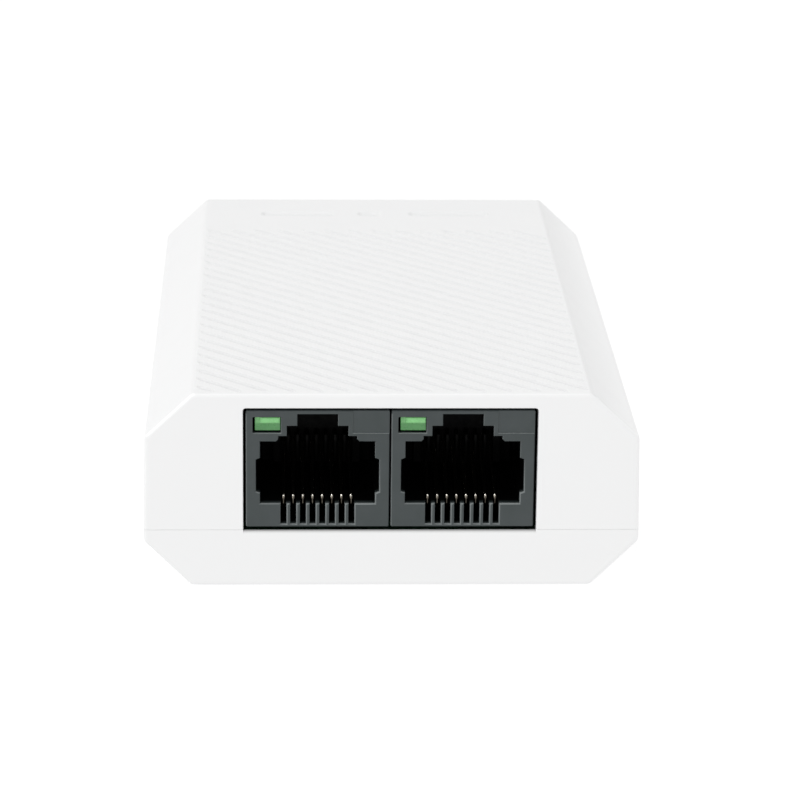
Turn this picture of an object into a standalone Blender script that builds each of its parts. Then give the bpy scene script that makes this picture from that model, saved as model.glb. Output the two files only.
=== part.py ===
"""Desktop power-over-Ethernet injector, as the separate pieces it comes apart into.

X points right and Y to the rear when the two sockets face the viewer; Z points up.
The origin is on the surface it stands on, below the centre of the case.
All sizes are in metres.
"""

import math

import bmesh
import bpy
from mathutils import Matrix, Vector

MM = 0.001

# Case: an eight-sided tube in two shells, with flat ends
CASE_WIDTH = 52.0 * MM
CASE_LENGTH = 80.0 * MM
CASE_HEIGHT = 21.2 * MM
TOP_CHAMFER = Vector((5.0, 4.7)) * MM
BASE_CHAMFER = Vector((5.0, 4.95)) * MM
SIDE_DRAFT = 0.2 * MM
WALL = 1.5 * MM
LONG_EDGE_ROUND = 0.8 * MM
END_EDGE_ROUND = 0.5 * MM
ROUND_STEPS = 2
SEAM_RISE = 6.26 * MM
SEAM_GAP = 0.16 * MM
LIP_INSET = 0.8 * MM
LIP_INNER_INSET = 1.6 * MM
LIP_ROOT = 1.0 * MM
LIP_RISE = 1.2 * MM
LIP_CLEARANCE = 0.16 * MM
FOOT_PROUD = 0.8 * MM

UNDERSIDE = FOOT_PROUD
TOP = UNDERSIDE + CASE_HEIGHT
SEAM = UNDERSIDE + SEAM_RISE
FRONT = -CASE_LENGTH / 2
REAR = CASE_LENGTH / 2
CUT_PAST = 1.0 * MM  # how far a cutter runs past the surface it opens
BITE = 0.2 * MM  # how deep a joined solid starts inside its neighbour

# Slanting grooves in the top, bounded by a rectangular panel
GROOVE_PITCH = 2.0 * MM
GROOVE_HALF_WIDTH = 0.17 * MM
GROOVE_DEPTH = 0.2 * MM
PANEL_LEFT = -20.2 * MM
PANEL_RIGHT = 19.7 * MM
PANEL_FRONT = FRONT + 0.9 * MM
PANEL_REAR = REAR - 15.0 * MM
SHORTEST_GROOVE = 1.0 * MM
# Plain sunk bars behind the panel, as (left end, length)
BARS = ((-14.0 * MM, 9.0 * MM), (-3.4 * MM, 4.2 * MM), (2.4 * MM, 11.6 * MM))
BAR_DEPTH = 0.15 * MM
BAR_WIDTH = 1.6 * MM
BAR_Y = REAR - 7.5 * MM

# Circuit board
BOARD_HALF_WIDTH = 22.8 * MM
BOARD_FRONT = FRONT + 2.1 * MM
BOARD_REAR = REAR - 2.4 * MM
BOARD_THICKNESS = 1.6 * MM
BOARD_TOP = UNDERSIDE + 6.45 * MM
BOARD_UNDER = BOARD_TOP - BOARD_THICKNESS
PIN_END = BOARD_UNDER - 1.2 * MM
SOLDER_GAP = 0.1 * MM
SEAT = BOARD_TOP + SOLDER_GAP
PIN_HOLE_RADIUS = 0.45 * MM
PIN_HOLE_SIDES = 6

# Screws, with the bosses they run through
SCREW_X = 18.0 * MM
SCREW_Y = 32.5 * MM
SCREW_SIDES = 16
BOSS_RADIUS = 2.1 * MM
BOSS_GAP = 0.15 * MM
HEAD_RADIUS = 1.7 * MM
HEAD_HEIGHT = 1.2 * MM
HEAD_ROUND = 0.35 * MM
SHANK_RADIUS = 0.95 * MM
SHANK_TOP = 14.5 * MM
COUNTERBORE_RADIUS = 2.0 * MM
COUNTERBORE_TOP = UNDERSIDE + 2.1 * MM
CLEARANCE_RADIUS = 1.25 * MM
PILOT_RADIUS = 1.1 * MM
PILOT_TOP = 16.5 * MM
DRIVE_LENGTH = 2.0 * MM
DRIVE_WIDTH = 0.5 * MM
DRIVE_DEPTH = 0.7 * MM

# Feet and label on the underside
FOOT_X = 13.5 * MM
FOOT_Y = 26.0 * MM
FOOT_RADIUS = 3.5 * MM
FOOT_SIDES = 24
FOOT_THICKNESS = 1.05 * MM
FOOT_RECESS = 0.4 * MM
FOOT_ROUND = 0.3 * MM
LABEL_HALF = Vector((14.8, 11.8)) * MM
LABEL_THICKNESS = 0.12 * MM
LABEL_RECESS = 0.2 * MM
LABEL_SUNK = 0.05 * MM
SIDE_GAP = 0.2 * MM

# Network sockets, in their own frame: x from the middle, y inwards from the face, z up from the board
JACK_NAMES = ("lan", "poe")
JACK_PITCH = 15.15 * MM
JACKS_X = -0.215 * MM
JACK_FACE_RECESS = 0.2 * MM
JACK_WIDTH = 15.1 * MM
JACK_DEPTH = 21.3 * MM
JACK_HEIGHT = 12.9 * MM
OPENING_MARGIN = 0.3 * MM
OPENING_TOP = UNDERSIDE + 19.64 * MM
SOCKET_FLOOR = 2.6 * MM
SOCKET_DEPTH = 14.2 * MM
# Right half of the socket mouth from its floor up, as (half width, height): the plug
# body with its side grooves, then the three steps of the latch way
MOUTH = (
    (6.0, 2.6), (6.0, 3.85), (6.43, 4.0), (6.43, 7.55), (5.99, 7.72), (5.99, 9.46),
    (4.34, 9.46), (4.1, 9.7), (4.1, 10.04), (3.2, 10.04), (3.2, 11.16), (2.11, 11.16),
    (2.11, 12.44),
)
CHAMBER_FRONT = 14.0 * MM
CHAMBER_HALF_WIDTH = 6.2 * MM
CHAMBER_TOP = 10.0 * MM
PEG_X = 5.6 * MM
PEG_Y = 8.9 * MM
PEG_RADIUS = 1.5 * MM
PEG_HOLE_RADIUS = 1.8 * MM
PEG_LENGTH = 2.4 * MM
PEG_SIDES = 12
LED_LEFT = -6.77 * MM
LED_RIGHT = -3.83 * MM
LED_LOW = 10.4 * MM
LED_HIGH = 12.16 * MM
LED_MARGIN = 0.13 * MM
LED_RECESS = 0.15 * MM
LED_LENGTH = 5.5 * MM
LED_LEADS_X = (-5.94 * MM, -4.66 * MM)
LED_LEAD_Y = JACK_DEPTH + 0.8 * MM
LED_LEAD = 0.45 * MM
BLANK_LEFT = 3.66 * MM
BLANK_DEPTH = 0.1 * MM

# Sprung contacts: a wire runs forward under the floor, turns round a bend and rises
# back into the socket, where a plug presses its free end down
CONTACTS = 8
CONTACT_PITCH = 1.016 * MM
WIRE_WIDTH = 0.35 * MM
WIRE_THICKNESS = 0.3 * MM
SLOT_WIDTH = 0.6 * MM
SLOT_FLOOR = 0.4 * MM
BEND_Y = 2.7 * MM
BEND_Z = 2.25 * MM
BEND_RADIUS = 0.75 * MM
BEND_STEPS = 6
ARM_SLOPE = math.radians(14.5)
ARM_LENGTH = 10.9 * MM
ARM_GAP = 0.08 * MM
BEND_STOP = math.radians(6.0)
CARRIER_HALF_WIDTH = 6.0 * MM
CARRIER_FRONT = 14.3 * MM
CARRIER_REAR = 20.9 * MM
CARRIER_LOW = 0.3 * MM
CARRIER_HIGH = 9.7 * MM
COMB_FRONT = 12.3 * MM
COMB_LOW = 3.0 * MM
COMB_HIGH = 6.2 * MM
COMB_HALF_WIDTH = 4.7 * MM
COMB_SLOT_WIDTH = 0.6 * MM
TAIL = 0.4 * MM
TAIL_ROWS = (15.6 * MM, 18.1 * MM)

# Power inlet, in its own frame: y inwards from its mouth, z up from the board
INLET_X = 0.0
INLET_MOUTH_Y = REAR - 1.9 * MM
INLET_AXIS = 6.3 * MM
INLET_HOLE_RADIUS = 4.0 * MM
INLET_BORE_RADIUS = 3.15 * MM
INLET_BORE_DEPTH = 11.4 * MM
INLET_SIDES = 24
COLLAR_HALF_WIDTH = 4.6 * MM
COLLAR_HEIGHT = 11.0 * MM
COLLAR_DEPTH = 3.2 * MM
INLET_HALF_WIDTH = 4.0 * MM
INLET_HEIGHT = 9.5 * MM
INLET_DEPTH = 13.9 * MM
PIN_RADIUS = 1.0 * MM
PIN_SIDES = 12
PIN_TIP_Y = 1.5 * MM
PIN_CLEARANCE = 0.15 * MM
PIN_TIP_ROUND = 0.4 * MM
PIN_TAIL_Y = 14.6 * MM
PIN_TAIL_RISE = 1.3 * MM
LEAF_SLOT_HALF = 1.3 * MM
LEAF_WIDTH = 2.0 * MM
LEAF_THICKNESS = 0.3 * MM
LEAF_HINGE_Y = 10.0 * MM
LEAF_HINGE_Z = 1.4 * MM
# The leaf's line from its hinge, as (towards the mouth, up)
LEAF = ((0.25, 0.05), (3.4, 0.65), (5.3, 2.35), (6.5, 0.95))
TERMINAL_X = INLET_X - INLET_HALF_WIDTH - 0.4 * MM
TERMINAL_Y = 7.5 * MM
TERMINAL_HEIGHT = 3.0 * MM
TAIL_SLOT_GAP = 0.25 * MM

# Parts on the board: (centre x, centre y)
TRANSFORMER_XY = ((-8.6, -9.5), (8.6, -9.5))
TRANSFORMER_SIZE = Vector((14.0, 8.4, 6.0)) * MM
TRANSFORMER_LEADS = 6
TRANSFORMER_LEAD_PITCH = 2.0 * MM
CHOKE_CENTRE = Vector((-12.2, 7.2)) * MM
CHOKE_RING_RADIUS = 5.2 * MM
CHOKE_SECTION_RADIUS = 1.8 * MM
CHOKE_RING_SIDES = 20
CHOKE_SECTION_SIDES = 8
CHOKE_LIFT = 4.1 * MM
CHOKE_BASE_THICKNESS = 0.8 * MM
TURN_RADIUS = 2.65 * MM
TURN_WIRE_RADIUS = 0.3 * MM
TURNS = 6
TURN_STEPS = 8
TURN_SPAN = math.radians(128.0)
CAPACITOR_XY = ((17.2, 4.0), (17.2, 14.5))
CAPACITOR_NAMES = ("output_capacitor", "input_capacitor")
CAPACITOR_RADIUS = 4.0 * MM
CAPACITOR_HEIGHT = 11.0 * MM
CAPACITOR_SIDES = 20
CAPACITOR_LEAD_SPACING = 3.5 * MM
CAPACITOR_LEAD = 0.5 * MM
CAPACITOR_LIFT = 0.2 * MM
CAPACITOR_NECK = 0.3 * MM
INDUCTOR_XY = (5.6, 3.0)
INDUCTOR_SIZE = Vector((7.4, 7.4, 4.0)) * MM
CHIP_XY = (5.6, 12.2)
CHIP_SIZE = Vector((4.0, 5.0, 1.5)) * MM
CHIP_LEADS = 4
CHIP_LEAD_PITCH = 1.27 * MM
TRANSISTOR_XY = (-9.5, 20.6)
TRANSISTOR_SIZE = Vector((6.6, 6.1, 2.3)) * MM
RESISTOR_XY = (11.5, 21.2)
RESISTOR_SIZE = Vector((6.3, 3.2, 0.6)) * MM
DIODE_XY = (-17.2, 20.6)
DIODE_SIZE = Vector((4.3, 3.6, 2.2)) * MM
FUSE_XY = (11.5, 26.6)
FUSE_SIZE = Vector((6.1, 2.6, 2.6)) * MM
# Flat feet along moulded blocks, and end caps of two-ended parts
BLOCK_LIFT = 0.15 * MM
BLOCK_FOOT_THICKNESS = 0.2 * MM
BLOCK_FOOT_REACH = 0.9 * MM
BLOCK_FOOT_WIDTH = 0.45 * MM
CAP_LENGTH = 0.9 * MM
CAP_PROUD = 0.06 * MM

SHALLOW_TURN = math.radians(10.0)
SHARP_EDGE = math.radians(35.0)

# The two directions in which an outline is drawn, and the one it is extruded along
AXES = {"X": (1, 2, 0), "Y": (0, 2, 1), "Z": (0, 1, 2)}

# Colour, roughness, metallic
FINISHES = {
    "white_case": ((0.88, 0.88, 0.875), 0.42, 0.0),
    "dark_socket": ((0.075, 0.085, 0.085), 0.45, 0.0),
    "dark_insert": ((0.02, 0.021, 0.022), 0.5, 0.0),
    "gold_contact": ((0.83, 0.62, 0.26), 0.25, 1.0),
    "tinned_metal": ((0.72, 0.72, 0.70), 0.3, 1.0),
    "green_lens": ((0.22, 0.62, 0.25), 0.25, 0.0),
    "board_green": ((0.03, 0.16, 0.07), 0.4, 0.0),
    "rubber": ((0.06, 0.06, 0.06), 0.8, 0.0),
    "label": ((0.78, 0.78, 0.77), 0.55, 0.0),
    "steel_screw": ((0.45, 0.45, 0.46), 0.35, 1.0),
    "black_part": ((0.02, 0.02, 0.022), 0.45, 0.0),
    "ferrite": ((0.05, 0.05, 0.055), 0.6, 0.0),
    "copper_wire": ((0.62, 0.28, 0.12), 0.3, 1.0),
    "capacitor_sleeve": ((0.03, 0.05, 0.12), 0.35, 0.0),
    "fuse_body": ((0.82, 0.80, 0.72), 0.4, 0.0),
}


# ---------------------------------------------------------------- modelling helpers


def clear_scene():
    for obj in list(bpy.data.objects):
        bpy.data.objects.remove(obj)


def finish_material(name):
    """The Principled material of that name, made the first time it is asked for."""
    material = bpy.data.materials.get(name)
    if material:
        return material
    colour, roughness, metallic = FINISHES[name]
    material = bpy.data.materials.new(name)
    material.use_nodes = True
    shader = material.node_tree.nodes["Principled BSDF"]
    shader.inputs["Base Color"].default_value = (*colour, 1.0)
    shader.inputs["Roughness"].default_value = roughness
    shader.inputs["Metallic"].default_value = metallic
    material.diffuse_color = (*colour, 1.0)
    return material


def make_object(name, bm, finish=None):
    """Turns a bmesh into a linked object with its faces pointing out."""
    bmesh.ops.recalc_face_normals(bm, faces=bm.faces)
    mesh = bpy.data.meshes.new(name)
    bm.to_mesh(mesh)
    bm.free()
    obj = bpy.data.objects.new(name, mesh)
    bpy.context.scene.collection.objects.link(obj)
    if finish:
        mesh.materials.append(finish_material(finish))
    return obj


def scaled(points):
    return [(a * MM, b * MM) for a, b in points]


def rectangle(a_low, b_low, a_high, b_high):
    return [(a_low, b_low), (a_high, b_low), (a_high, b_high), (a_low, b_high)]


def circle(a, b, radius, sides):
    turn = 2 * math.pi / sides
    return [
        (a + radius * math.cos(i * turn), b + radius * math.sin(i * turn))
        for i in range(sides)
    ]


def inset(outline, distance):
    """A convex anticlockwise outline with every edge moved inwards by one distance."""
    moved = []
    for i, corner in enumerate(outline):
        here = Vector(corner)
        into = here - Vector(outline[i - 1])
        out = Vector(outline[(i + 1) % len(outline)]) - here
        inward = Vector((-into.y, into.x)).normalized()
        other = Vector((-out.y, out.x)).normalized()
        middle = (inward + other).normalized()
        moved.append(tuple(here + middle * (distance / middle.dot(inward))))
    return moved


def rounded(outline, radius, steps):
    """An anticlockwise outline with its sharp corners turned into arcs."""
    points = []
    for i, corner in enumerate(outline):
        here = Vector(corner)
        into = (here - Vector(outline[i - 1])).normalized()
        out = (Vector(outline[(i + 1) % len(outline)]) - here).normalized()
        turn = into.angle(out)
        if turn < SHALLOW_TURN:
            points.append(tuple(here))
            continue
        centre = here + (out - into).normalized() * (radius / math.cos(turn / 2))
        first = math.atan2(-into.x, into.y)
        for k in range(steps + 1):
            angle = first + math.pi + turn * k / steps
            points.append(
                (centre.x - radius * math.cos(angle), centre.y - radius * math.sin(angle))
            )
    return points


def add_prism(bm, outline, axis, low, high):
    """Extrudes an outline along an axis from low to high, closed at both ends."""
    first, second, along = AXES[axis]
    ends = []
    for level in (low, high):
        ring = []
        for a, b in outline:
            point = [0.0, 0.0, 0.0]
            point[first] = a
            point[second] = b
            point[along] = level
            ring.append(bm.verts.new(point))
        bm.faces.new(ring)
        ends.append(ring)
    for i in range(len(outline)):
        bm.faces.new((ends[0][i - 1], ends[0][i], ends[1][i], ends[1][i - 1]))


def prism(outline, axis, low, high, name="tool", finish=None):
    bm = bmesh.new()
    add_prism(bm, outline, axis, low, high)
    return make_object(name, bm, finish)


def add_box(bm, low, high):
    add_prism(bm, rectangle(low[0], low[1], high[0], high[1]), "Z", low[2], high[2])


def box(low, high, name="tool", finish=None):
    bm = bmesh.new()
    add_box(bm, low, high)
    return make_object(name, bm, finish)


def boxes(corners):
    """One tool of several boxes that stand clear of each other."""
    bm = bmesh.new()
    for low, high in corners:
        add_box(bm, low, high)
    return make_object("tool", bm)


def pillars(centres, radius, sides, low, high):
    """One tool of several upright round bars that stand clear of each other."""
    bm = bmesh.new()
    for x, y in centres:
        add_prism(bm, circle(x, y, radius, sides), "Z", low, high)
    return make_object("tool", bm)


def add_lathe(bm, profile, sides, centre=(0.0, 0.0)):
    """Turns a profile of (radius, z) points round an upright axis; its ends lie on the axis."""
    turn = 2 * math.pi / sides
    base = bm.verts.new((centre[0], centre[1], profile[0][1]))
    tip = bm.verts.new((centre[0], centre[1], profile[-1][1]))
    rings = []
    for radius, z in profile[1:-1]:
        ring = [
            bm.verts.new(
                (
                    centre[0] + radius * math.cos(i * turn),
                    centre[1] + radius * math.sin(i * turn),
                    z,
                )
            )
            for i in range(sides)
        ]
        rings.append(ring)
    for i in range(sides):
        bm.faces.new((base, rings[0][i - 1], rings[0][i]))
        bm.faces.new((tip, rings[-1][i], rings[-1][i - 1]))
        for lower, upper in zip(rings, rings[1:]):
            bm.faces.new((lower[i - 1], lower[i], upper[i], upper[i - 1]))


def lathe(profile, sides, name="tool", finish=None):
    bm = bmesh.new()
    add_lathe(bm, profile, sides)
    return make_object(name, bm, finish)


def add_strip(bm, path, x, width, thickness):
    """A flat wire of even thickness along a path of (y, z) points."""
    points = [Vector(p) for p in path]
    rings = []
    for i, here in enumerate(points):
        before = here - points[i - 1] if i else points[1] - here
        after = points[i + 1] - here if i + 1 < len(points) else before
        side = Vector((-before.y, before.x)).normalized()
        other = Vector((-after.y, after.x)).normalized()
        middle = (side + other).normalized()
        offset = middle * (thickness / 2 / middle.dot(side))
        low = here - offset
        high = here + offset
        left = x - width / 2
        right = x + width / 2
        corners = ((left, *low), (right, *low), (right, *high), (left, *high))
        rings.append([bm.verts.new(c) for c in corners])
    for ring, following in zip(rings, rings[1:]):
        for i in range(4):
            bm.faces.new((ring[i - 1], ring[i], following[i], following[i - 1]))
    bm.faces.new(rings[0])
    bm.faces.new(rings[-1])


def strips(paths, width, thickness, name="tool", finish=None):
    """One solid for each (x, path) pair, together in one object."""
    bm = bmesh.new()
    for x, path in paths:
        add_strip(bm, path, x, width, thickness)
    return make_object(name, bm, finish)


def combine(target, operation, *tools):
    """Cuts or joins the tools with the target, one after another, and removes the tools."""
    for tool in tools:
        modifier = target.modifiers.new(operation, "BOOLEAN")
        modifier.operation = operation
        modifier.solver = "EXACT"
        modifier.object = tool
    bpy.context.view_layer.update()
    evaluated = target.evaluated_get(bpy.context.evaluated_depsgraph_get())
    mesh = bpy.data.meshes.new_from_object(evaluated)
    mesh.name = target.name
    target.modifiers.clear()
    target.data = mesh
    for tool in tools:
        bpy.data.objects.remove(tool)
    return target


def cut(target, *tools):
    return combine(target, "DIFFERENCE", *tools)


def join(target, *tools):
    return combine(target, "UNION", *tools)


def four_ways(x, y):
    return [(sx * x, sy * y) for sy in (-1, 1) for sx in (-1, 1)]


# ---------------------------------------------------------------- case


def case_outline():
    """The case's section, anticlockwise from the left end of its underside."""
    half = CASE_WIDTH / 2
    upper = half - SIDE_DRAFT
    right = [
        (half - BASE_CHAMFER.x, UNDERSIDE),
        (half, UNDERSIDE + BASE_CHAMFER.y),
        (half, SEAM),
        (upper, TOP - TOP_CHAMFER.y),
        (upper - TOP_CHAMFER.x, TOP),
    ]
    left = [(-x, z) for x, z in reversed(right)]
    return right + left


def case_solid(name):
    """The whole case as one solid, with all its outer edges rounded."""
    section = rounded(case_outline(), LONG_EDGE_ROUND, ROUND_STEPS)
    bm = bmesh.new()
    rings = []
    for end, inwards in ((FRONT, 1), (REAR, -1)):
        sweep = [math.pi / 2 * k / ROUND_STEPS for k in range(ROUND_STEPS + 1)]
        for angle in sweep if inwards > 0 else reversed(sweep):
            y = end + inwards * END_EDGE_ROUND * (1 - math.cos(angle))
            outline = inset(section, END_EDGE_ROUND * (1 - math.sin(angle)))
            rings.append([bm.verts.new((x, y, z)) for x, z in outline])
    for ring, following in zip(rings, rings[1:]):
        for i in range(len(ring)):
            bm.faces.new((ring[i - 1], ring[i], following[i], following[i - 1]))
    bm.faces.new(rings[0])
    bm.faces.new(rings[-1])
    return make_object(name, bm, "white_case")


def case_tube(name):
    """The case with its hollow, before it is split at the seam."""
    hollow = prism(inset(case_outline(), WALL), "Y", FRONT + WALL, REAR - WALL)
    return cut(case_solid(name), hollow)


def half_space(low, high):
    """A block wider and longer than the case, between two heights."""
    reach = CASE_WIDTH
    return box((-reach, -reach, low), (reach, reach, high))


def seam_block(inset_by, low, high):
    """A block that fills the case's plan at the seam, less a margin."""
    x = CASE_WIDTH / 2 - inset_by
    y = CASE_LENGTH / 2 - inset_by
    return box((-x, -y, low), (x, y, high))


def jack_opening():
    """The cutter for the rectangular opening that the two sockets fill."""
    half = JACK_PITCH / 2 + JACK_WIDTH / 2 + OPENING_MARGIN
    return box(
        (JACKS_X - half, FRONT - CUT_PAST, UNDERSIDE),
        (JACKS_X + half, FRONT + WALL + CUT_PAST, OPENING_TOP),
    )


def grooves():
    """Shallow three-sided grooves at 45 degrees, each clipped to the panel."""
    bm = bmesh.new()
    step = GROOVE_PITCH * math.sqrt(2)
    along = Vector((1, -1, 0)).normalized()
    across = Vector((1, 1, 0)).normalized() * GROOVE_HALF_WIDTH
    total = PANEL_LEFT + PANEL_FRONT
    while total < PANEL_RIGHT + PANEL_REAR:
        total += step
        x_low = max(PANEL_LEFT, total - PANEL_REAR)
        x_high = min(PANEL_RIGHT, total - PANEL_FRONT)
        if x_high - x_low < SHORTEST_GROOVE:
            continue
        start = Vector((x_low, total - x_low, TOP))
        end = Vector((x_high, total - x_high, TOP))
        lift = Vector((0, 0, GROOVE_DEPTH))
        rings = []
        for point in (start + along * GROOVE_HALF_WIDTH, end - along * GROOVE_HALF_WIDTH):
            corners = (point + across * 2 + lift, point - across * 2 + lift, point - lift)
            rings.append([bm.verts.new(c) for c in corners])
        for ring in rings:
            bm.faces.new(ring)
        for i in range(3):
            bm.faces.new((rings[0][i - 1], rings[0][i], rings[1][i], rings[1][i - 1]))
    return make_object("tool", bm)


def sunk_bars():
    return boxes(
        [
            ((left, BAR_Y - BAR_WIDTH / 2, TOP - BAR_DEPTH),
             (left + length, BAR_Y + BAR_WIDTH / 2, TOP + CUT_PAST))
            for left, length in BARS
        ]
    )


def build_top_cover():
    cover = case_tube("top_cover")
    rebate = seam_block(
        LIP_INSET - LIP_CLEARANCE, UNDERSIDE, SEAM + LIP_RISE + LIP_CLEARANCE
    )
    cut(cover, half_space(-CASE_HEIGHT, SEAM + SEAM_GAP / 2), rebate, jack_opening())
    screws = four_ways(SCREW_X, SCREW_Y)
    ceiling = TOP - WALL
    join(
        cover,
        pillars(
            screws, BOSS_RADIUS, SCREW_SIDES, BOARD_TOP + BOSS_GAP, ceiling + BITE
        ),
    )
    inlet_hole = prism(
        circle(INLET_X, BOARD_TOP + INLET_AXIS, INLET_HOLE_RADIUS, INLET_SIDES),
        "Y", REAR - WALL - CUT_PAST, REAR + CUT_PAST,
    )
    cut(
        cover,
        pillars(screws, PILOT_RADIUS, SCREW_SIDES, UNDERSIDE, PILOT_TOP),
        inlet_hole,
        grooves(),
        sunk_bars(),
    )
    return cover


def build_bottom_cover():
    cover = case_tube("bottom_cover")
    cut(cover, half_space(SEAM - SEAM_GAP / 2, TOP + CASE_HEIGHT))
    lip = seam_block(LIP_INSET, SEAM - LIP_ROOT, SEAM + LIP_RISE)
    half = JACK_PITCH / 2 + JACK_WIDTH / 2 + 2 * OPENING_MARGIN
    jack_gap = box(
        (JACKS_X - half, FRONT - CUT_PAST, 0.0),
        (JACKS_X + half, FRONT + WALL + CUT_PAST, TOP),
    )
    cut(lip, seam_block(LIP_INNER_INSET, 0.0, TOP), jack_gap)
    join(cover, lip)
    screws = four_ways(SCREW_X, SCREW_Y)
    floor = UNDERSIDE + WALL
    support_top = BOARD_UNDER - BOSS_GAP
    join(cover, pillars(screws, BOSS_RADIUS, SCREW_SIDES, floor - BITE, support_top))
    cut(
        cover,
        pillars(screws, COUNTERBORE_RADIUS, SCREW_SIDES, 0.0, COUNTERBORE_TOP),
        pillars(screws, CLEARANCE_RADIUS, SCREW_SIDES, 0.0, support_top + CUT_PAST),
        pillars(
            four_ways(FOOT_X, FOOT_Y), FOOT_RADIUS + SIDE_GAP, FOOT_SIDES,
            0.0, UNDERSIDE + FOOT_RECESS,
        ),
        box(
            (-LABEL_HALF.x - SIDE_GAP, -LABEL_HALF.y - SIDE_GAP, 0.0),
            (LABEL_HALF.x + SIDE_GAP, LABEL_HALF.y + SIDE_GAP, UNDERSIDE + LABEL_RECESS),
        ),
    )
    return cover


def build_screws():
    """Four cross-head screws driven from below; each is its own object on one mesh."""
    head_top = COUNTERBORE_TOP - SOLDER_GAP
    head_low = head_top - HEAD_HEIGHT
    screw = lathe(
        [
            (0.0, head_low),
            (HEAD_RADIUS - HEAD_ROUND, head_low),
            (HEAD_RADIUS, head_low + HEAD_ROUND),
            (HEAD_RADIUS, head_top),
            (SHANK_RADIUS, head_top),
            (SHANK_RADIUS, SHANK_TOP - SHANK_RADIUS),
            (0.0, SHANK_TOP),
        ],
        SCREW_SIDES, "case_screw_1", "steel_screw",
    )
    long, short = DRIVE_LENGTH / 2, DRIVE_WIDTH / 2
    drive_top = head_low + DRIVE_DEPTH
    cut(
        screw,
        box((-long, -short, 0.0), (long, short, drive_top)),
        box((-short, -long, 0.0), (short, long, drive_top)),
    )
    place_copies(screw, "case_screw", four_ways(SCREW_X, SCREW_Y))


def place_copies(first, stem, places):
    """Puts the first piece at the first place, and a copy on the same mesh at each other."""
    for number, (x, y) in enumerate(places, 1):
        piece = first
        if number > 1:
            piece = bpy.data.objects.new(f"{stem}_{number}", first.data)
            bpy.context.scene.collection.objects.link(piece)
        piece.location = (x, y, 0.0)


def build_feet():
    foot = lathe(
        [
            (0.0, 0.0),
            (FOOT_RADIUS - FOOT_ROUND, 0.0),
            (FOOT_RADIUS, FOOT_ROUND),
            (FOOT_RADIUS, FOOT_THICKNESS),
            (0.0, FOOT_THICKNESS),
        ],
        FOOT_SIDES, "foot_1", "rubber",
    )
    place_copies(foot, "foot", four_ways(FOOT_X, FOOT_Y))


def build_label():
    top = UNDERSIDE + LABEL_RECESS - LABEL_SUNK
    box(
        (-LABEL_HALF.x, -LABEL_HALF.y, top - LABEL_THICKNESS),
        (LABEL_HALF.x, LABEL_HALF.y, top),
        "blank_label", "label",
    )


# ---------------------------------------------------------------- network sockets


def contact_places():
    return [(i - (CONTACTS - 1) / 2) * CONTACT_PITCH for i in range(CONTACTS)]


def jack_places():
    """Where each socket's own frame sits: (name, location)."""
    y = FRONT + JACK_FACE_RECESS
    return [
        (name, Vector((JACKS_X + side * JACK_PITCH / 2, y, BOARD_TOP)))
        for name, side in zip(JACK_NAMES, (-1, 1))
    ]


def mouth_outline():
    right = scaled(MOUTH)
    return right + [(-x, z) for x, z in reversed(right)]


def jack_housing():
    """The moulded socket body, open at its mouth, its back and the back of its underside."""
    half = JACK_WIDTH / 2
    housing = box(
        (-half, 0.0, SOLDER_GAP), (half, JACK_DEPTH, JACK_HEIGHT),
        "jack_housing", "dark_socket",
    )
    pegs = pillars(
        [(-PEG_X, PEG_Y), (PEG_X, PEG_Y)], PEG_RADIUS, PEG_SIDES,
        -PEG_LENGTH, SOLDER_GAP + BITE,
    )
    join(housing, pegs)
    back = JACK_DEPTH + CUT_PAST
    chamber = box(
        (-CHAMBER_HALF_WIDTH, CHAMBER_FRONT, -CUT_PAST),
        (CHAMBER_HALF_WIDTH, back, CHAMBER_TOP),
    )
    slots = boxes(
        [
            ((x - SLOT_WIDTH / 2, -CUT_PAST, SLOT_FLOOR),
             (x + SLOT_WIDTH / 2, CHAMBER_FRONT + BITE, SOCKET_FLOOR + BITE))
            for x in contact_places()
        ]
    )
    windows = boxes(
        [
            ((LED_LEFT, -CUT_PAST, LED_LOW), (LED_RIGHT, back, LED_HIGH)),
            ((BLANK_LEFT, -CUT_PAST, LED_LOW), (half + CUT_PAST, BLANK_DEPTH, JACK_HEIGHT + CUT_PAST)),
        ]
    )
    mouth = prism(mouth_outline(), "Y", -CUT_PAST, SOCKET_DEPTH)
    return cut(housing, mouth, chamber, slots, windows)


def contact_line():
    """The fixed part of a contact: under the floor, then round the bend to its stop."""
    line = [(CARRIER_FRONT + BITE, BEND_Z - BEND_RADIUS)]
    start = -math.pi / 2
    stop = -(1.5 * math.pi) + ARM_SLOPE + BEND_STOP
    for i in range(BEND_STEPS + 1):
        angle = start + (stop - start) * i / BEND_STEPS
        line.append(
            (
                BEND_Y + BEND_RADIUS * math.cos(angle),
                BEND_Z + BEND_RADIUS * math.sin(angle),
            )
        )
    return line


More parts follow.
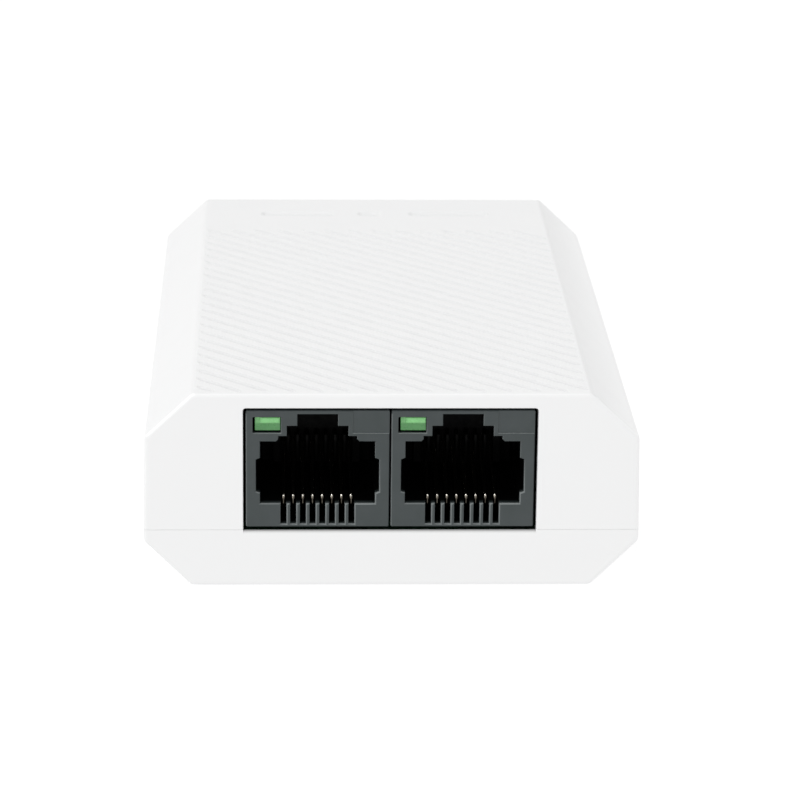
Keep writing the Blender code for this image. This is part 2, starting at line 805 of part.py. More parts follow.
def contact_carrier():
    """The insert that holds the eight wires, with its comb and their solder tails."""
    places = contact_places()
    carrier = box(
        (-CARRIER_HALF_WIDTH, CARRIER_FRONT, CARRIER_LOW),
        (CARRIER_HALF_WIDTH, CARRIER_REAR, CARRIER_HIGH),
        "contact_carrier", "dark_insert",
    )
    comb = box(
        (-COMB_HALF_WIDTH, COMB_FRONT, COMB_LOW),
        (COMB_HALF_WIDTH, CARRIER_FRONT + BITE, COMB_HIGH),
    )
    wires = strips([(x, contact_line()) for x in places], WIRE_WIDTH, WIRE_THICKNESS)
    tails = boxes(
        [
            ((x - TAIL / 2, TAIL_ROWS[i % 2] - TAIL / 2, PIN_END - BOARD_TOP),
             (x + TAIL / 2, TAIL_ROWS[i % 2] + TAIL / 2, CARRIER_LOW + BITE))
            for i, x in enumerate(places)
        ]
    )
    join(carrier, comb, wires, tails)
    comb_slots = boxes(
        [
            ((x - COMB_SLOT_WIDTH / 2, COMB_FRONT - CUT_PAST, COMB_LOW - CUT_PAST / 2),
             (x + COMB_SLOT_WIDTH / 2, CARRIER_FRONT - BITE, COMB_HIGH + CUT_PAST / 2))
            for x in places
        ]
    )
    return cut(carrier, comb_slots)


def contact_arm():
    """The sprung end of a contact, drawn from the bend's centre, which it turns about."""
    slope = Vector((math.cos(ARM_SLOPE), math.sin(ARM_SLOPE)))
    foot = Vector((-slope.y, slope.x)) * BEND_RADIUS
    start = foot + slope * ARM_GAP
    end = foot + slope * ARM_LENGTH
    return strips(
        [(0.0, (start, end))], WIRE_WIDTH, WIRE_THICKNESS, "contact_arm", "gold_contact"
    )


def jack_led():
    """A rectangular lamp behind the window, with two leads over the back to the board."""
    led = box(
        (LED_LEFT + LED_MARGIN, LED_RECESS, LED_LOW + LED_MARGIN),
        (LED_RIGHT - LED_MARGIN, LED_LENGTH, LED_HIGH - LED_MARGIN),
        "jack_led", "green_lens",
    )
    middle = (LED_LOW + LED_HIGH) / 2
    path = (
        (LED_LENGTH - BITE, middle),
        (LED_LEAD_Y, middle),
        (LED_LEAD_Y, PIN_END - BOARD_TOP),
    )
    leads = strips([(x, path) for x in LED_LEADS_X], LED_LEAD, LED_LEAD)
    return join(led, leads)


def place_in_jack(template, stem, offset=Vector((0, 0, 0))):
    """Puts one copy of a socket piece in each socket, all on one mesh."""
    for name, location in jack_places():
        piece = bpy.data.objects.new(f"{name}_{stem}", template.data)
        bpy.context.scene.collection.objects.link(piece)
        piece.location = location + offset


def build_jacks():
    for stem, make in (
        ("jack_housing", jack_housing),
        ("contact_carrier", contact_carrier),
        ("led", jack_led),
    ):
        template = make()
        place_in_jack(template, stem)
        bpy.data.objects.remove(template)
    arm = contact_arm()
    for number, x in enumerate(contact_places(), 1):
        place_in_jack(arm, f"contact_{number}", Vector((x, BEND_Y, BEND_Z)))
    bpy.data.objects.remove(arm)


# ---------------------------------------------------------------- power inlet


def inlet_y(depth):
    """World y of a point that far in from the inlet's mouth."""
    return INLET_MOUTH_Y - depth


def build_inlet_housing():
    axis_z = BOARD_TOP + INLET_AXIS
    mouth = inlet_y(0.0)
    housing = box(
        (INLET_X - COLLAR_HALF_WIDTH, inlet_y(COLLAR_DEPTH), SEAT),
        (INLET_X + COLLAR_HALF_WIDTH, mouth, SEAT + COLLAR_HEIGHT),
        "dc_jack_housing", "black_part",
    )
    body = box(
        (INLET_X - INLET_HALF_WIDTH, inlet_y(INLET_DEPTH), SEAT),
        (INLET_X + INLET_HALF_WIDTH, inlet_y(COLLAR_DEPTH) + BITE, SEAT + INLET_HEIGHT),
    )
    join(housing, body)
    bore = prism(
        circle(INLET_X, axis_z, INLET_BORE_RADIUS, INLET_SIDES),
        "Y", inlet_y(INLET_BORE_DEPTH), mouth + CUT_PAST,
    )
    pin_way = prism(
        circle(INLET_X, axis_z, PIN_RADIUS + PIN_CLEARANCE, PIN_SIDES),
        "Y", inlet_y(INLET_DEPTH) - CUT_PAST, inlet_y(INLET_BORE_DEPTH) + CUT_PAST,
    )
    leaf_way = box(
        (INLET_X - LEAF_SLOT_HALF, inlet_y(INLET_BORE_DEPTH), BOARD_TOP - CUT_PAST),
        (INLET_X + LEAF_SLOT_HALF, inlet_y(COLLAR_DEPTH - BITE), axis_z - PIN_RADIUS),
    )
    return cut(housing, bore, pin_way, leaf_way)


def build_inlet_metal():
    axis_z = BOARD_TOP + INLET_AXIS
    pin_back = inlet_y(PIN_TAIL_Y) - LEAF_THICKNESS / 2
    pin = lathe(
        [
            (0.0, pin_back),
            (PIN_RADIUS, pin_back),
            (PIN_RADIUS, inlet_y(PIN_TIP_Y) - PIN_TIP_ROUND),
            (PIN_RADIUS - PIN_TIP_ROUND, inlet_y(PIN_TIP_Y)),
            (0.0, inlet_y(PIN_TIP_Y)),
        ],
        PIN_SIDES, "dc_centre_pin", "tinned_metal",
    )
    pin.data.transform(Matrix.Rotation(-math.pi / 2, 4, "X"))
    pin.data.transform(Matrix.Translation((INLET_X, 0.0, axis_z)))
    tail_y = inlet_y(PIN_TAIL_Y)
    tail = strips(
        [(INLET_X, ((tail_y, PIN_END), (tail_y, axis_z + PIN_TAIL_RISE)))],
        LEAF_WIDTH, LEAF_THICKNESS,
    )
    join(pin, tail)
    hinge = Vector((inlet_y(LEAF_HINGE_Y), BOARD_TOP + LEAF_HINGE_Z))
    leaf = strips(
        [(0.0, scaled(LEAF))], LEAF_WIDTH, LEAF_THICKNESS, "dc_spring_contact", "tinned_metal"
    )
    leaf.location = (INLET_X, hinge.x, hinge.y)
    root_y = hinge.x - LEAF_THICKNESS / 2
    strips(
        [(INLET_X, ((root_y, PIN_END), (root_y, hinge.y + BITE)))],
        LEAF_WIDTH, LEAF_THICKNESS, "dc_spring_tail", "tinned_metal",
    )
    y = inlet_y(TERMINAL_Y)
    box(
        (TERMINAL_X - LEAF_THICKNESS / 2, y - LEAF_WIDTH / 2, PIN_END),
        (TERMINAL_X + LEAF_THICKNESS / 2, y + LEAF_WIDTH / 2, SEAT + TERMINAL_HEIGHT),
        "dc_switch_terminal", "tinned_metal",
    )


# ---------------------------------------------------------------- board and its parts


def choke_leads():
    """Where the four ends of the choke's windings go down: (x, y)."""
    reach = CHOKE_RING_RADIUS + TURN_RADIUS
    places = []
    for middle in (0.0, math.pi):
        for end in (-TURN_SPAN / 2, TURN_SPAN / 2):
            angle = middle + end
            places.append(
                (
                    CHOKE_CENTRE.x + reach * math.cos(angle),
                    CHOKE_CENTRE.y + reach * math.sin(angle),
                )
            )
    return places


def capacitor_leads():
    return [
        (x * MM + side * CAPACITOR_LEAD_SPACING / 2, y * MM)
        for x, y in CAPACITOR_XY
        for side in (-1, 1)
    ]


def jack_pins():
    """Where every round solder pin of the two sockets meets the board: (x, y)."""
    places = []
    for _, at in jack_places():
        for i, x in enumerate(contact_places()):
            places.append((at.x + x, at.y + TAIL_ROWS[i % 2]))
        for x in LED_LEADS_X:
            places.append((at.x + x, at.y + LED_LEAD_Y))
    return places


def tail_slot(x, y, half_x, half_y):
    low = (x - half_x - TAIL_SLOT_GAP, y - half_y - TAIL_SLOT_GAP, BOARD_UNDER - CUT_PAST)
    high = (x + half_x + TAIL_SLOT_GAP, y + half_y + TAIL_SLOT_GAP, BOARD_TOP + CUT_PAST)
    return low, high


def build_board():
    board = box(
        (-BOARD_HALF_WIDTH, BOARD_FRONT, BOARD_UNDER),
        (BOARD_HALF_WIDTH, BOARD_REAR, BOARD_TOP),
        "circuit_board", "board_green",
    )
    low = BOARD_UNDER - CUT_PAST
    high = BOARD_TOP + CUT_PAST
    pegs = [
        (at.x + side * PEG_X, at.y + PEG_Y)
        for _, at in jack_places()
        for side in (-1, 1)
    ]
    pins = jack_pins() + choke_leads() + capacitor_leads()
    wide, thin = LEAF_WIDTH / 2, LEAF_THICKNESS / 2
    root_y = inlet_y(LEAF_HINGE_Y) - thin
    tail_slots = boxes(
        [
            tail_slot(INLET_X, inlet_y(PIN_TAIL_Y), wide, thin),
            tail_slot(INLET_X, root_y, wide, thin),
            tail_slot(TERMINAL_X, inlet_y(TERMINAL_Y), thin, wide),
        ]
    )
    return cut(
        board,
        pillars(four_ways(SCREW_X, SCREW_Y), CLEARANCE_RADIUS, SCREW_SIDES, low, high),
        pillars(pegs, PEG_HOLE_RADIUS, PEG_SIDES, low, high),
        pillars(pins, PIN_HOLE_RADIUS, PIN_HOLE_SIDES, low, high),
        tail_slots,
    )


def leaded_block(name, centre, size, leads, pitch, finish):
    """A moulded block with a row of flat feet along each long side, standing on the board."""
    x, y = centre[0] * MM, centre[1] * MM
    half = size / 2
    block = box(
        (x - half.x, y - half.y, SEAT + BLOCK_LIFT),
        (x + half.x, y + half.y, SEAT + size.z),
        name, finish,
    )
    top = SEAT + BLOCK_LIFT + BLOCK_FOOT_THICKNESS
    width = min(BLOCK_FOOT_WIDTH, pitch / 2)
    along_x = size.x > size.y
    feet = []
    for side in (-1, 1):
        for i in range(leads):
            shift = (i - (leads - 1) / 2) * pitch
            edge = (half.y if along_x else half.x) * side
            near, far = sorted((edge - side * BITE, edge + side * BLOCK_FOOT_REACH))
            if along_x:
                low = (x + shift - width / 2, y + near, SEAT)
                high = (x + shift + width / 2, y + far, top)
            else:
                low = (x + near, y + shift - width / 2, SEAT)
                high = (x + far, y + shift + width / 2, top)
            feet.append((low, high))
    return join(block, boxes(feet))


def chip_block(name, centre, size, finish):
    """A plain two-ended part with a small end cap at each side of its body."""
    x, y = centre[0] * MM, centre[1] * MM
    half = size / 2
    block = box(
        (x - half.x + CAP_PROUD, y - half.y, SEAT + CAP_PROUD),
        (x + half.x - CAP_PROUD, y + half.y, SEAT + size.z),
        name, finish,
    )
    caps = []
    for side in (-1, 1):
        outer = side * half.x
        near, far = sorted((outer, outer - side * CAP_LENGTH))
        caps.append(
            (
                (x + near, y - half.y - CAP_PROUD, SEAT),
                (x + far, y + half.y + CAP_PROUD, SEAT + size.z + CAP_PROUD),
            )
        )
    return join(block, boxes(caps))


def build_capacitors():
    low = SEAT + CAPACITOR_LIFT
    for name, (x, y) in zip(CAPACITOR_NAMES, CAPACITOR_XY):
        can = lathe(
            [
                (0.0, low),
                (CAPACITOR_RADIUS - CAPACITOR_NECK, low),
                (CAPACITOR_RADIUS, low + CAPACITOR_NECK),
                (CAPACITOR_RADIUS, low + CAPACITOR_HEIGHT - CAPACITOR_NECK),
                (CAPACITOR_RADIUS - CAPACITOR_NECK, low + CAPACITOR_HEIGHT),
                (0.0, low + CAPACITOR_HEIGHT),
            ],
            CAPACITOR_SIDES, name, "capacitor_sleeve",
        )
        thick = CAPACITOR_LEAD / 2
        leads = boxes(
            [
                ((side * CAPACITOR_LEAD_SPACING / 2 - thick, -thick, PIN_END),
                 (side * CAPACITOR_LEAD_SPACING / 2 + thick, thick, low + BITE))
                for side in (-1, 1)
            ]
        )
        join(can, leads)
        can.location = (x * MM, y * MM, 0.0)


def add_tube(bm, path, radius, sides=4):
    """A thin round wire along a path of points in space."""
    rings = []
    for i, here in enumerate(path):
        before = path[max(i - 1, 0)]
        after = path[min(i + 1, len(path) - 1)]
        forward = (after - before).normalized()
        upright = abs(forward.z) > abs(forward.x) + abs(forward.y)
        side = forward.cross(Vector((0, 1, 0) if upright else (0, 0, 1)))
        side.normalize()
        up = side.cross(forward)
        ring = []
        for k in range(sides):
            turn = 2 * math.pi * k / sides
            outward = side * math.cos(turn) + up * math.sin(turn)
            ring.append(bm.verts.new(here + outward * radius))
        rings.append(ring)
    for ring, following in zip(rings, rings[1:]):
        for i in range(sides):
            bm.faces.new((ring[i - 1], ring[i], following[i], following[i - 1]))
    bm.faces.new(rings[0])
    bm.faces.new(rings[-1])


def build_choke():
    """A ring core on a base plate, with two windings of one wire each."""
    centre_z = SEAT + CHOKE_LIFT
    prism(
        circle(CHOKE_CENTRE.x, CHOKE_CENTRE.y, CHOKE_RING_RADIUS, CHOKE_RING_SIDES),
        "Z", SEAT, SEAT + CHOKE_BASE_THICKNESS, "choke_base", "black_part",
    )
    bm = bmesh.new()
    rings = []
    for i in range(CHOKE_RING_SIDES):
        turn = 2 * math.pi * i / CHOKE_RING_SIDES
        outward = Vector((math.cos(turn), math.sin(turn), 0))
        ring = []
        for a, b in circle(0.0, 0.0, CHOKE_SECTION_RADIUS, CHOKE_SECTION_SIDES):
            ring.append(bm.verts.new(outward * (CHOKE_RING_RADIUS + a) + Vector((0, 0, b))))
        rings.append(ring)
    for i in range(CHOKE_RING_SIDES):
        for k in range(CHOKE_SECTION_SIDES):
            bm.faces.new((rings[i - 1][k - 1], rings[i - 1][k], rings[i][k], rings[i][k - 1]))
    core = make_object("choke_core", bm, "ferrite")
    core.location = (CHOKE_CENTRE.x, CHOKE_CENTRE.y, centre_z)
    for number, middle in enumerate((0.0, math.pi), 1):
        bm = bmesh.new()
        path = []
        steps = TURNS * TURN_STEPS
        for i in range(steps + 1):
            turn = 2 * math.pi * i / TURN_STEPS
            angle = middle + TURN_SPAN * (i / steps - 0.5)
            out = CHOKE_RING_RADIUS + TURN_RADIUS * math.cos(turn)
            path.append(
                Vector(
                    (
                        CHOKE_CENTRE.x + out * math.cos(angle),
                        CHOKE_CENTRE.y + out * math.sin(angle),
                        centre_z + TURN_RADIUS * math.sin(turn),
                    )
                )
            )
        for end, where in ((path[0], 0), (path[-1], len(path) + 1)):
            path.insert(where, Vector((end.x, end.y, PIN_END)))
        add_tube(bm, path, TURN_WIRE_RADIUS)
        make_object(f"choke_winding_{number}", bm, "copper_wire")


def build_board_parts():
    for name, centre in zip(JACK_NAMES, TRANSFORMER_XY):
        leaded_block(
            f"{name}_transformer", centre, TRANSFORMER_SIZE, TRANSFORMER_LEADS,
            TRANSFORMER_LEAD_PITCH, "black_part",
        )
    leaded_block("power_controller", CHIP_XY, CHIP_SIZE, CHIP_LEADS, CHIP_LEAD_PITCH, "black_part")
    chip_block("power_inductor", INDUCTOR_XY, INDUCTOR_SIZE, "ferrite")
    chip_block("switch_transistor", TRANSISTOR_XY, TRANSISTOR_SIZE, "black_part")
    chip_block("sense_resistor", RESISTOR_XY, RESISTOR_SIZE, "black_part")
    chip_block("surge_diode", DIODE_XY, DIODE_SIZE, "black_part")
    chip_block("fuse", FUSE_XY, FUSE_SIZE, "fuse_body")
    build_capacitors()
    build_choke()


def smooth_round_pieces():
    """Smooth shading, with steep edges kept sharp."""
    for mesh in bpy.data.meshes:
        mesh.shade_smooth()
        mesh.set_sharp_from_angle(angle=SHARP_EDGE)


def main():
    clear_scene()
    build_top_cover()
    build_bottom_cover()
    build_screws()
    build_feet()
    build_label()
    build_jacks()
    build_inlet_housing()
    build_inlet_metal()
    build_board()
    build_board_parts()
    smooth_round_pieces()


main()
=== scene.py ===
"""Looks of the power-over-Ethernet injector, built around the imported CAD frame.

X points right, Y to the rear and Z up, in metres, as in the frame. The two sockets face -Y.
"""

import math

import bmesh
import bpy
from mathutils import Matrix, Vector


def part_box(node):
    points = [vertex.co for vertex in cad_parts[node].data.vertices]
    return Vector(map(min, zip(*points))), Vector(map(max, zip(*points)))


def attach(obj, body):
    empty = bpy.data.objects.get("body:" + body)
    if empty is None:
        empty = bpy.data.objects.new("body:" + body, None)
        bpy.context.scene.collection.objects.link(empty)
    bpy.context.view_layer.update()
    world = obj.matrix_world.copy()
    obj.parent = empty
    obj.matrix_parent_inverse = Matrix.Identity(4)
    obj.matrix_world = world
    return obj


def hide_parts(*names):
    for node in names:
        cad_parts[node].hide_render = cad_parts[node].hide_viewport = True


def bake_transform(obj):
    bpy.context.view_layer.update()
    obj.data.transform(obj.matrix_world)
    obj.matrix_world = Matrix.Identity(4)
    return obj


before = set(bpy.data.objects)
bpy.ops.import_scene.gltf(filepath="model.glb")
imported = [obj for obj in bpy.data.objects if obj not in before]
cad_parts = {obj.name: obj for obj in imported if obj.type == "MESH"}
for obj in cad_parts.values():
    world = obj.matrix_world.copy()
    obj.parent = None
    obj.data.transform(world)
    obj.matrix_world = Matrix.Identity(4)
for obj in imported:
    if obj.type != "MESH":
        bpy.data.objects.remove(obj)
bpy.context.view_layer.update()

MM = 0.001
CUT_PAST = 1.0 * MM  # how far a cutter runs past the surface it opens

# Case section, from the frame's boxes
BOTTOM_LOW, BOTTOM_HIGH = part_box("bottom_cover")
TOP_LOW, TOP_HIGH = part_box("top_cover")
FRONT, REAR = TOP_LOW.y, TOP_HIGH.y
HALF_WIDTH = BOTTOM_HIGH.x
UNDERSIDE, TOP = BOTTOM_LOW.z, TOP_HIGH.z
SEAM = UNDERSIDE + 6.26 * MM
TOP_CHAMFER = Vector((5.0, 4.7)) * MM
BASE_CHAMFER = Vector((5.0, 4.95)) * MM
SIDE_DRAFT = 0.2 * MM
WALL = 1.5 * MM
INSIDE = FRONT + WALL + CUT_PAST  # where a cutter through the front wall ends
LONG_EDGE_ROUND = 0.9 * MM
END_EDGE_ROUND = 0.45 * MM
ROUND_STEPS = 6
SEAM_GAP = 0.01 * MM
SEAM_EDGE = 0.027 * MM
SILL = 0.34 * MM
SILL_LOW = SEAM - 0.08 * MM
SILL_ROUND = Vector((0.3, 0.45)) * MM  # back from the front, down from its top
SILL_DROP = 1.2 * MM
LIP_INSET = 0.8 * MM
LIP_INNER_INSET = 1.6 * MM
LIP_RISE = 1.2 * MM
LIP_CLEARANCE = 0.1 * MM

# Ribbed panel and the plain sunk bars behind it
GROOVE_PITCH = 2.0 * MM
GROOVE_HALF_WIDTH = 0.4 * MM
GROOVE_DEPTH = 0.46 * MM
GROOVE_STEPS = 8
GROOVE_PHASE = 0.6
GROOVE_TAPER = 0.8 * MM
PANEL_LEFT = -20.5 * MM
PANEL_RIGHT = 20.4 * MM
PANEL_FRONT = FRONT + 0.8 * MM
PANEL_REAR = REAR - 15.0 * MM
SHORTEST_GROOVE = 2.0 * MM
BARS = ((-14.0 * MM, 9.0 * MM), (-2.2 * MM, 3.0 * MM), (4.1 * MM, 9.8 * MM))
BAR_DEPTH = 0.5 * MM
BAR_WIDTH = 1.7 * MM
BAR_STEPS = 8
BAR_Y = REAR - 7.5 * MM

# Painted light and shade on the white case, on top of its one colour
SOFT_LIMIT = 0.1 * MM
CHAMFER_PAINTED_SHADE = (0.785, 0.787, 0.787)
SILL_PAINTED_SHADE = (0.36, 0.36, 0.36)
# Painted highlight on the left front corner and, weaker, along the front top edge
CORNER_WAY = (-0.45, -0.5, 0.74)
CORNER_REACH = (FRONT + 0.8 * MM, FRONT + 0.5 * MM)  # no further back, clear of the grooves
CORNER_PAINTED_HIGHLIGHT = (0.97, 0.97, 0.97)
GROOVE_PAINTED_SHADE = (0.74, 0.74, 0.74)
GROOVE_FADE = 0.35
GROOVE_SHADE_DEPTH = 0.5 * MM

# Screws, feet and label
SCREWS = [(x * 18.0 * MM, y * 32.5 * MM) for y in (-1, 1) for x in (-1, 1)]
BOSS_RADIUS = 2.1 * MM
PILOT_RADIUS = 1.1 * MM
CLEARANCE_RADIUS = 1.25 * MM
COUNTERBORE_RADIUS = 2.0 * MM
COUNTERBORE_TOP = UNDERSIDE + 2.1 * MM
HOLE_EDGE = 0.15 * MM
SCREW_HEAD, SCREW_SHANK = 1.2 * MM, 0.95 * MM  # the head's height, the shank's radius
THREAD_PITCH, THREAD_DEPTH = 0.6 * MM, 0.22 * MM
CROSS_ARM, CROSS_DEPTH = (1.05 * MM, 0.26 * MM), 0.75 * MM  # half of the cross recess's arms
ROUND_SIDES = 48
FOOT_RECESS = 0.4 * MM
FOOT_ROUND = 0.4 * MM
SIDE_GAP = 0.2 * MM

# Network sockets, in their own frame: x from the middle, y inwards, z up from the board
BOARD_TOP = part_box("circuit_board")[1].z
JACKS = ("lan", "poe")
JACKS_LEFT, JACKS_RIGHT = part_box("lan_jack_housing")[0].x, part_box("poe_jack_housing")[1].x
LIP_GAP = 0.6 * MM  # from the sockets to the end of the inner lip
OPENING_LEFT, OPENING_RIGHT = JACKS_LEFT - 0.22 * MM, JACKS_RIGHT + 0.24 * MM
OPENING_EDGE = 0.16 * MM
OPENING_TOP = UNDERSIDE + 19.6 * MM
OPENING_ROUND = 0.3 * MM
JACK_HALF_WIDTH = 7.49 * MM
JACK_DEPTH = 21.3 * MM
JACK_LOW = 0.05 * MM
JACK_HEIGHT = 12.86 * MM
JACK_EDGE = 0.18 * MM
SOCKET_FLOOR = 2.65 * MM
SOCKET_DEPTH = 14.2 * MM
MOUTH = (
    (6.0, 2.65), (6.0, 3.8), (6.43, 3.95), (6.43, 7.47), (5.99, 7.65), (5.99, 9.46),
    (4.34, 9.46), (4.1, 9.7), (4.1, 10.04), (3.2, 10.04), (3.2, 11.16), (2.11, 11.16),
    (2.11, 12.44),
)
MOUTH_EDGE = 0.19 * MM
CONTACTS = 8
CONTACT_PITCH = 1.016 * MM
SLOT_WIDTH = 0.6 * MM
SLOT_FLOOR = 0.4 * MM
LED_LEFT, LED_RIGHT = -6.77 * MM, -3.83 * MM
LED_LOW, LED_HIGH = 10.4 * MM, 12.16 * MM
LED_LEADS_X = (-5.94 * MM, -4.66 * MM)
LED_LEAD_WIDTH = 0.45 * MM
BLANK_LEFT = 3.66 * MM
BLANK_DEPTH = 0.1 * MM
BLANK_EDGE = 0.08 * MM
SOCKET_PAINTED_SHADE = (FRONT + 0.4 * MM, FRONT + 1.3 * MM)  # where painted shade turns the moulding nearly black
SOCKET_RIMS = (FRONT + 0.55 * MM, FRONT + 0.4 * MM)  # where painted highlight lightens its rims
SOCKET_RIM_HEIGHTS = (BOARD_TOP + JACK_HEIGHT - 0.2 * MM, BOARD_TOP + JACK_HEIGHT - 0.5 * MM)
SOCKET_RIM_PAINTED_HIGHLIGHT = (0.19, 0.21, 0.21)
PEG_X, PEG_Y, PEG_RADIUS = 5.6 * MM, 8.9 * MM, 1.5 * MM
PEG_LOW = -2.4 * MM
CHAMBER_FRONT = 14.0 * MM
CHAMBER_HALF_WIDTH = 6.2 * MM
CHAMBER_TOP = 10.0 * MM
BEND_Y, BEND_Z, BEND_RADIUS = 2.7 * MM, 2.25 * MM, 0.75 * MM
CONTACT_PAINTED_SHADE = (BOARD_TOP + 2.73 * MM, BOARD_TOP + 2.86 * MM)  # painted shade: nearly black below, pale above
ARM_SLOPE = math.radians(14.5)
ARM_LENGTH = 10.9 * MM
WIRE_WIDTH, WIRE_THICKNESS = 0.35 * MM, 0.3 * MM
CARRIER_FRONT, CARRIER_REAR = 14.3 * MM, 20.9 * MM
CARRIER_HALF_WIDTH = 6.0 * MM
CARRIER_LOW, CARRIER_HIGH = 0.3 * MM, 9.7 * MM
COMB_FRONT = 12.3 * MM
COMB_LOW, COMB_HIGH = 3.0 * MM, 6.2 * MM
COMB_HALF_WIDTH = 4.7 * MM
COMB_SLOT_WIDTH = 0.6 * MM
TAIL_ROWS = (15.6 * MM, 18.1 * MM)
TAIL_WIDTH = 0.4 * MM
PIN_END = -2.8 * MM

# Power inlet
INLET_X = 0.0
INLET_Z = BOARD_TOP + 6.3 * MM
INLET_MOUTH = REAR - 1.9 * MM
INLET_HOLE_RADIUS = 4.0 * MM
INLET_BORE_RADIUS = 3.15 * MM
INLET_BORE_DEPTH = 11.4 * MM
INLET_PIN_RADIUS = 1.0 * MM
INLET_COLLAR = 3.2 * MM
INLET_HALF_WIDTH, INLET_HEIGHT = 4.0 * MM, 9.5 * MM
PIN_ROUND = 0.6 * MM
PIN_SLOT = (0.12 * MM, 3.5 * MM)  # half width and length of the slit in its tip

# Light: a white room, a floor that shines back, and lamps
SKY_LEVEL = 0.915
SKY_LEFT = 0.03
SKY_REAR = 0.07
SKY_LOW = 0.18
FLOOR_SHADE = 0.6
FLOOR_LIFT = 0.5
FLOOR_GLOW = 1.0
KEY_AT = (-0.2, -0.6, 0.48)
KEY_POWER = 0.7
SPARK_AT = (-0.12, -0.22, 0.75)
SPARK_POWER = 0.5
EDGE_AT = (-0.64, -0.18, 0.42)
EDGE_POWER = 0.5
SOFT_LEFT_POWER = 0.2
SOFT_RIGHT_POWER = 1.1

# Camera, at the eye's place in front of the sockets
CAMERA_AT = Vector((-11.81, -384.9, 132.93)) * MM
CAMERA_FORWARD = Vector((0.03454, 0.95089, -0.30761))
CAMERA_UP = Vector((0.00015, 0.30779, 0.95145))
CAMERA_LENS = 157.5
CAMERA_SENSOR = 36.0
CAMERA_STOP = 100.0


# ---- outlines


def rectangle(a_low, b_low, a_high, b_high):
    return [(a_low, b_low), (a_high, b_low), (a_high, b_high), (a_low, b_high)]


def circle(a, b, radius, sides=ROUND_SIDES):
    turn = 2 * math.pi / sides
    return [
        (a + radius * math.cos(i * turn), b + radius * math.sin(i * turn))
        for i in range(sides)
    ]


def inset(outline, distance):
    """An anticlockwise outline with every edge moved inwards."""
    moved = []
    for i, corner in enumerate(outline):
        here = Vector(corner)
        into = here - Vector(outline[i - 1])
        out = Vector(outline[(i + 1) % len(outline)]) - here
        inward = Vector((-into.y, into.x)).normalized()
        other = Vector((-out.y, out.x)).normalized()
        middle = (inward + other).normalized()
        moved.append(tuple(here + middle * (distance / middle.dot(inward))))
    return moved


def filleted(outline, radius, steps, least_turn=math.radians(10.0)):
    """An outline with arcs in its corners."""
    points = []
    count = len(outline)
    for i, corner in enumerate(outline):
        here = Vector(corner)
        before = here - Vector(outline[i - 1])
        after = Vector(outline[(i + 1) % count]) - here
        into, out = before.normalized(), after.normalized()
        turn = math.atan2(into.x * out.y - into.y * out.x, into.dot(out))
        if abs(turn) < least_turn:
            points.append(tuple(here))
            continue
        reach = min(radius * math.tan(abs(turn) / 2), 0.45 * before.length, 0.45 * after.length)
        bend = reach / math.tan(abs(turn) / 2)
        side = math.copysign(1.0, turn)
        start = here - into * reach
        centre = start + Vector((-into.y, into.x)) * (bend * side)
        arm = start - centre
        for k in range(steps + 1):
            angle = turn * k / steps
            cos, sin = math.cos(angle), math.sin(angle)
            x, y = arm.x * cos - arm.y * sin, arm.x * sin + arm.y * cos
            points.append((centre.x + x, centre.y + y))
    return points


# ---- solids


def new_object(name, bm):
    bmesh.ops.recalc_face_normals(bm, faces=bm.faces)
    mesh = bpy.data.meshes.new(name)
    bm.to_mesh(mesh)
    bm.free()
    obj = bpy.data.objects.new(name, mesh)
    bpy.context.scene.collection.objects.link(obj)
    return obj


def add_loft(bm, rings):
    """Joins rings of equal length into one closed skin."""
    made = [[bm.verts.new(point) for point in ring] for ring in rings]
    for ring, following in zip(made, made[1:]):
        for i in range(len(ring)):
            bm.faces.new((ring[i - 1], ring[i], following[i], following[i - 1]))
    bm.faces.new(made[0])
    bm.faces.new(made[-1])


def loft(name, rings):
    bm = bmesh.new()
    add_loft(bm, rings)
    return new_object(name, bm)


AXES = {"X": (1, 2, 0), "Y": (0, 2, 1), "Z": (0, 1, 2)}


def level(outline, axis, height):
    """A flat outline as points in space, square to an axis."""
    first, second, along = AXES[axis]
    ring = []
    for a, b in outline:
        point = [0.0, 0.0, 0.0]
        point[first] = a
        point[second] = b
        point[along] = height
        ring.append(tuple(point))
    return ring


def prism(outline, axis, low, high, name="tool"):
    return loft(name, [level(outline, axis, low), level(outline, axis, high)])


def quarter_round(edge, steps):
    """An edge's rounding as (sideways, deep) distances, from the end face to the side."""
    angles = [math.pi / 2 * k / steps for k in range(steps + 1)]
    return [(edge * (1 - math.sin(angle)), edge * (1 - math.cos(angle))) for angle in angles]


def soft_prism(outline, axis, low, high, edge, name="tool", steps=3):
    """A prism with rounded end edges."""
    bend = quarter_round(edge, steps)
    rings = [level(inset(outline, shrink), axis, low + deep) for shrink, deep in bend]
    rings += [level(inset(outline, shrink), axis, high - deep) for shrink, deep in bend[::-1]]
    return loft(name, rings)


def mouth_cutter(outline, axis, surface, deep, edge, steps=3):
    """A cutter that leaves a rounded edge where it enters a surface. deep may lie either way."""
    way = math.copysign(1.0, deep - surface)
    before = surface - way * edge / 20  # so that no corner of the cutter lies in the surface
    rings = [level(inset(outline, -edge), axis, z) for z in (surface - way * CUT_PAST, before)]
    for flare, sunk in quarter_round(edge, steps)[1:]:
        rings.append(level(inset(outline, -flare), axis, surface + way * sunk))
    rings.append(level(outline, axis, deep))
    return loft("tool", rings)


def box(low, high, name="tool"):
    return prism(rectangle(low[0], low[1], high[0], high[1]), "Z", low[2], high[2], name)


def soft_box(low, high, corner, edge, axis="Z", name="tool", steps=3):
    """A block with rounded corners along one axis, and rounded ends."""
    first, second, along = AXES[axis]
    outline = rectangle(low[first], low[second], high[first], high[second])
    bend = quarter_round(edge, steps)
    rings = []
    for end, way, order in ((low[along], 1, bend), (high[along], -1, bend[::-1])):
        for shrink, deep in order:
            ring = filleted(inset(outline, shrink), max(corner - shrink, corner / 5), steps)
            rings.append(level(ring, axis, end + way * deep))
    return loft(name, rings)


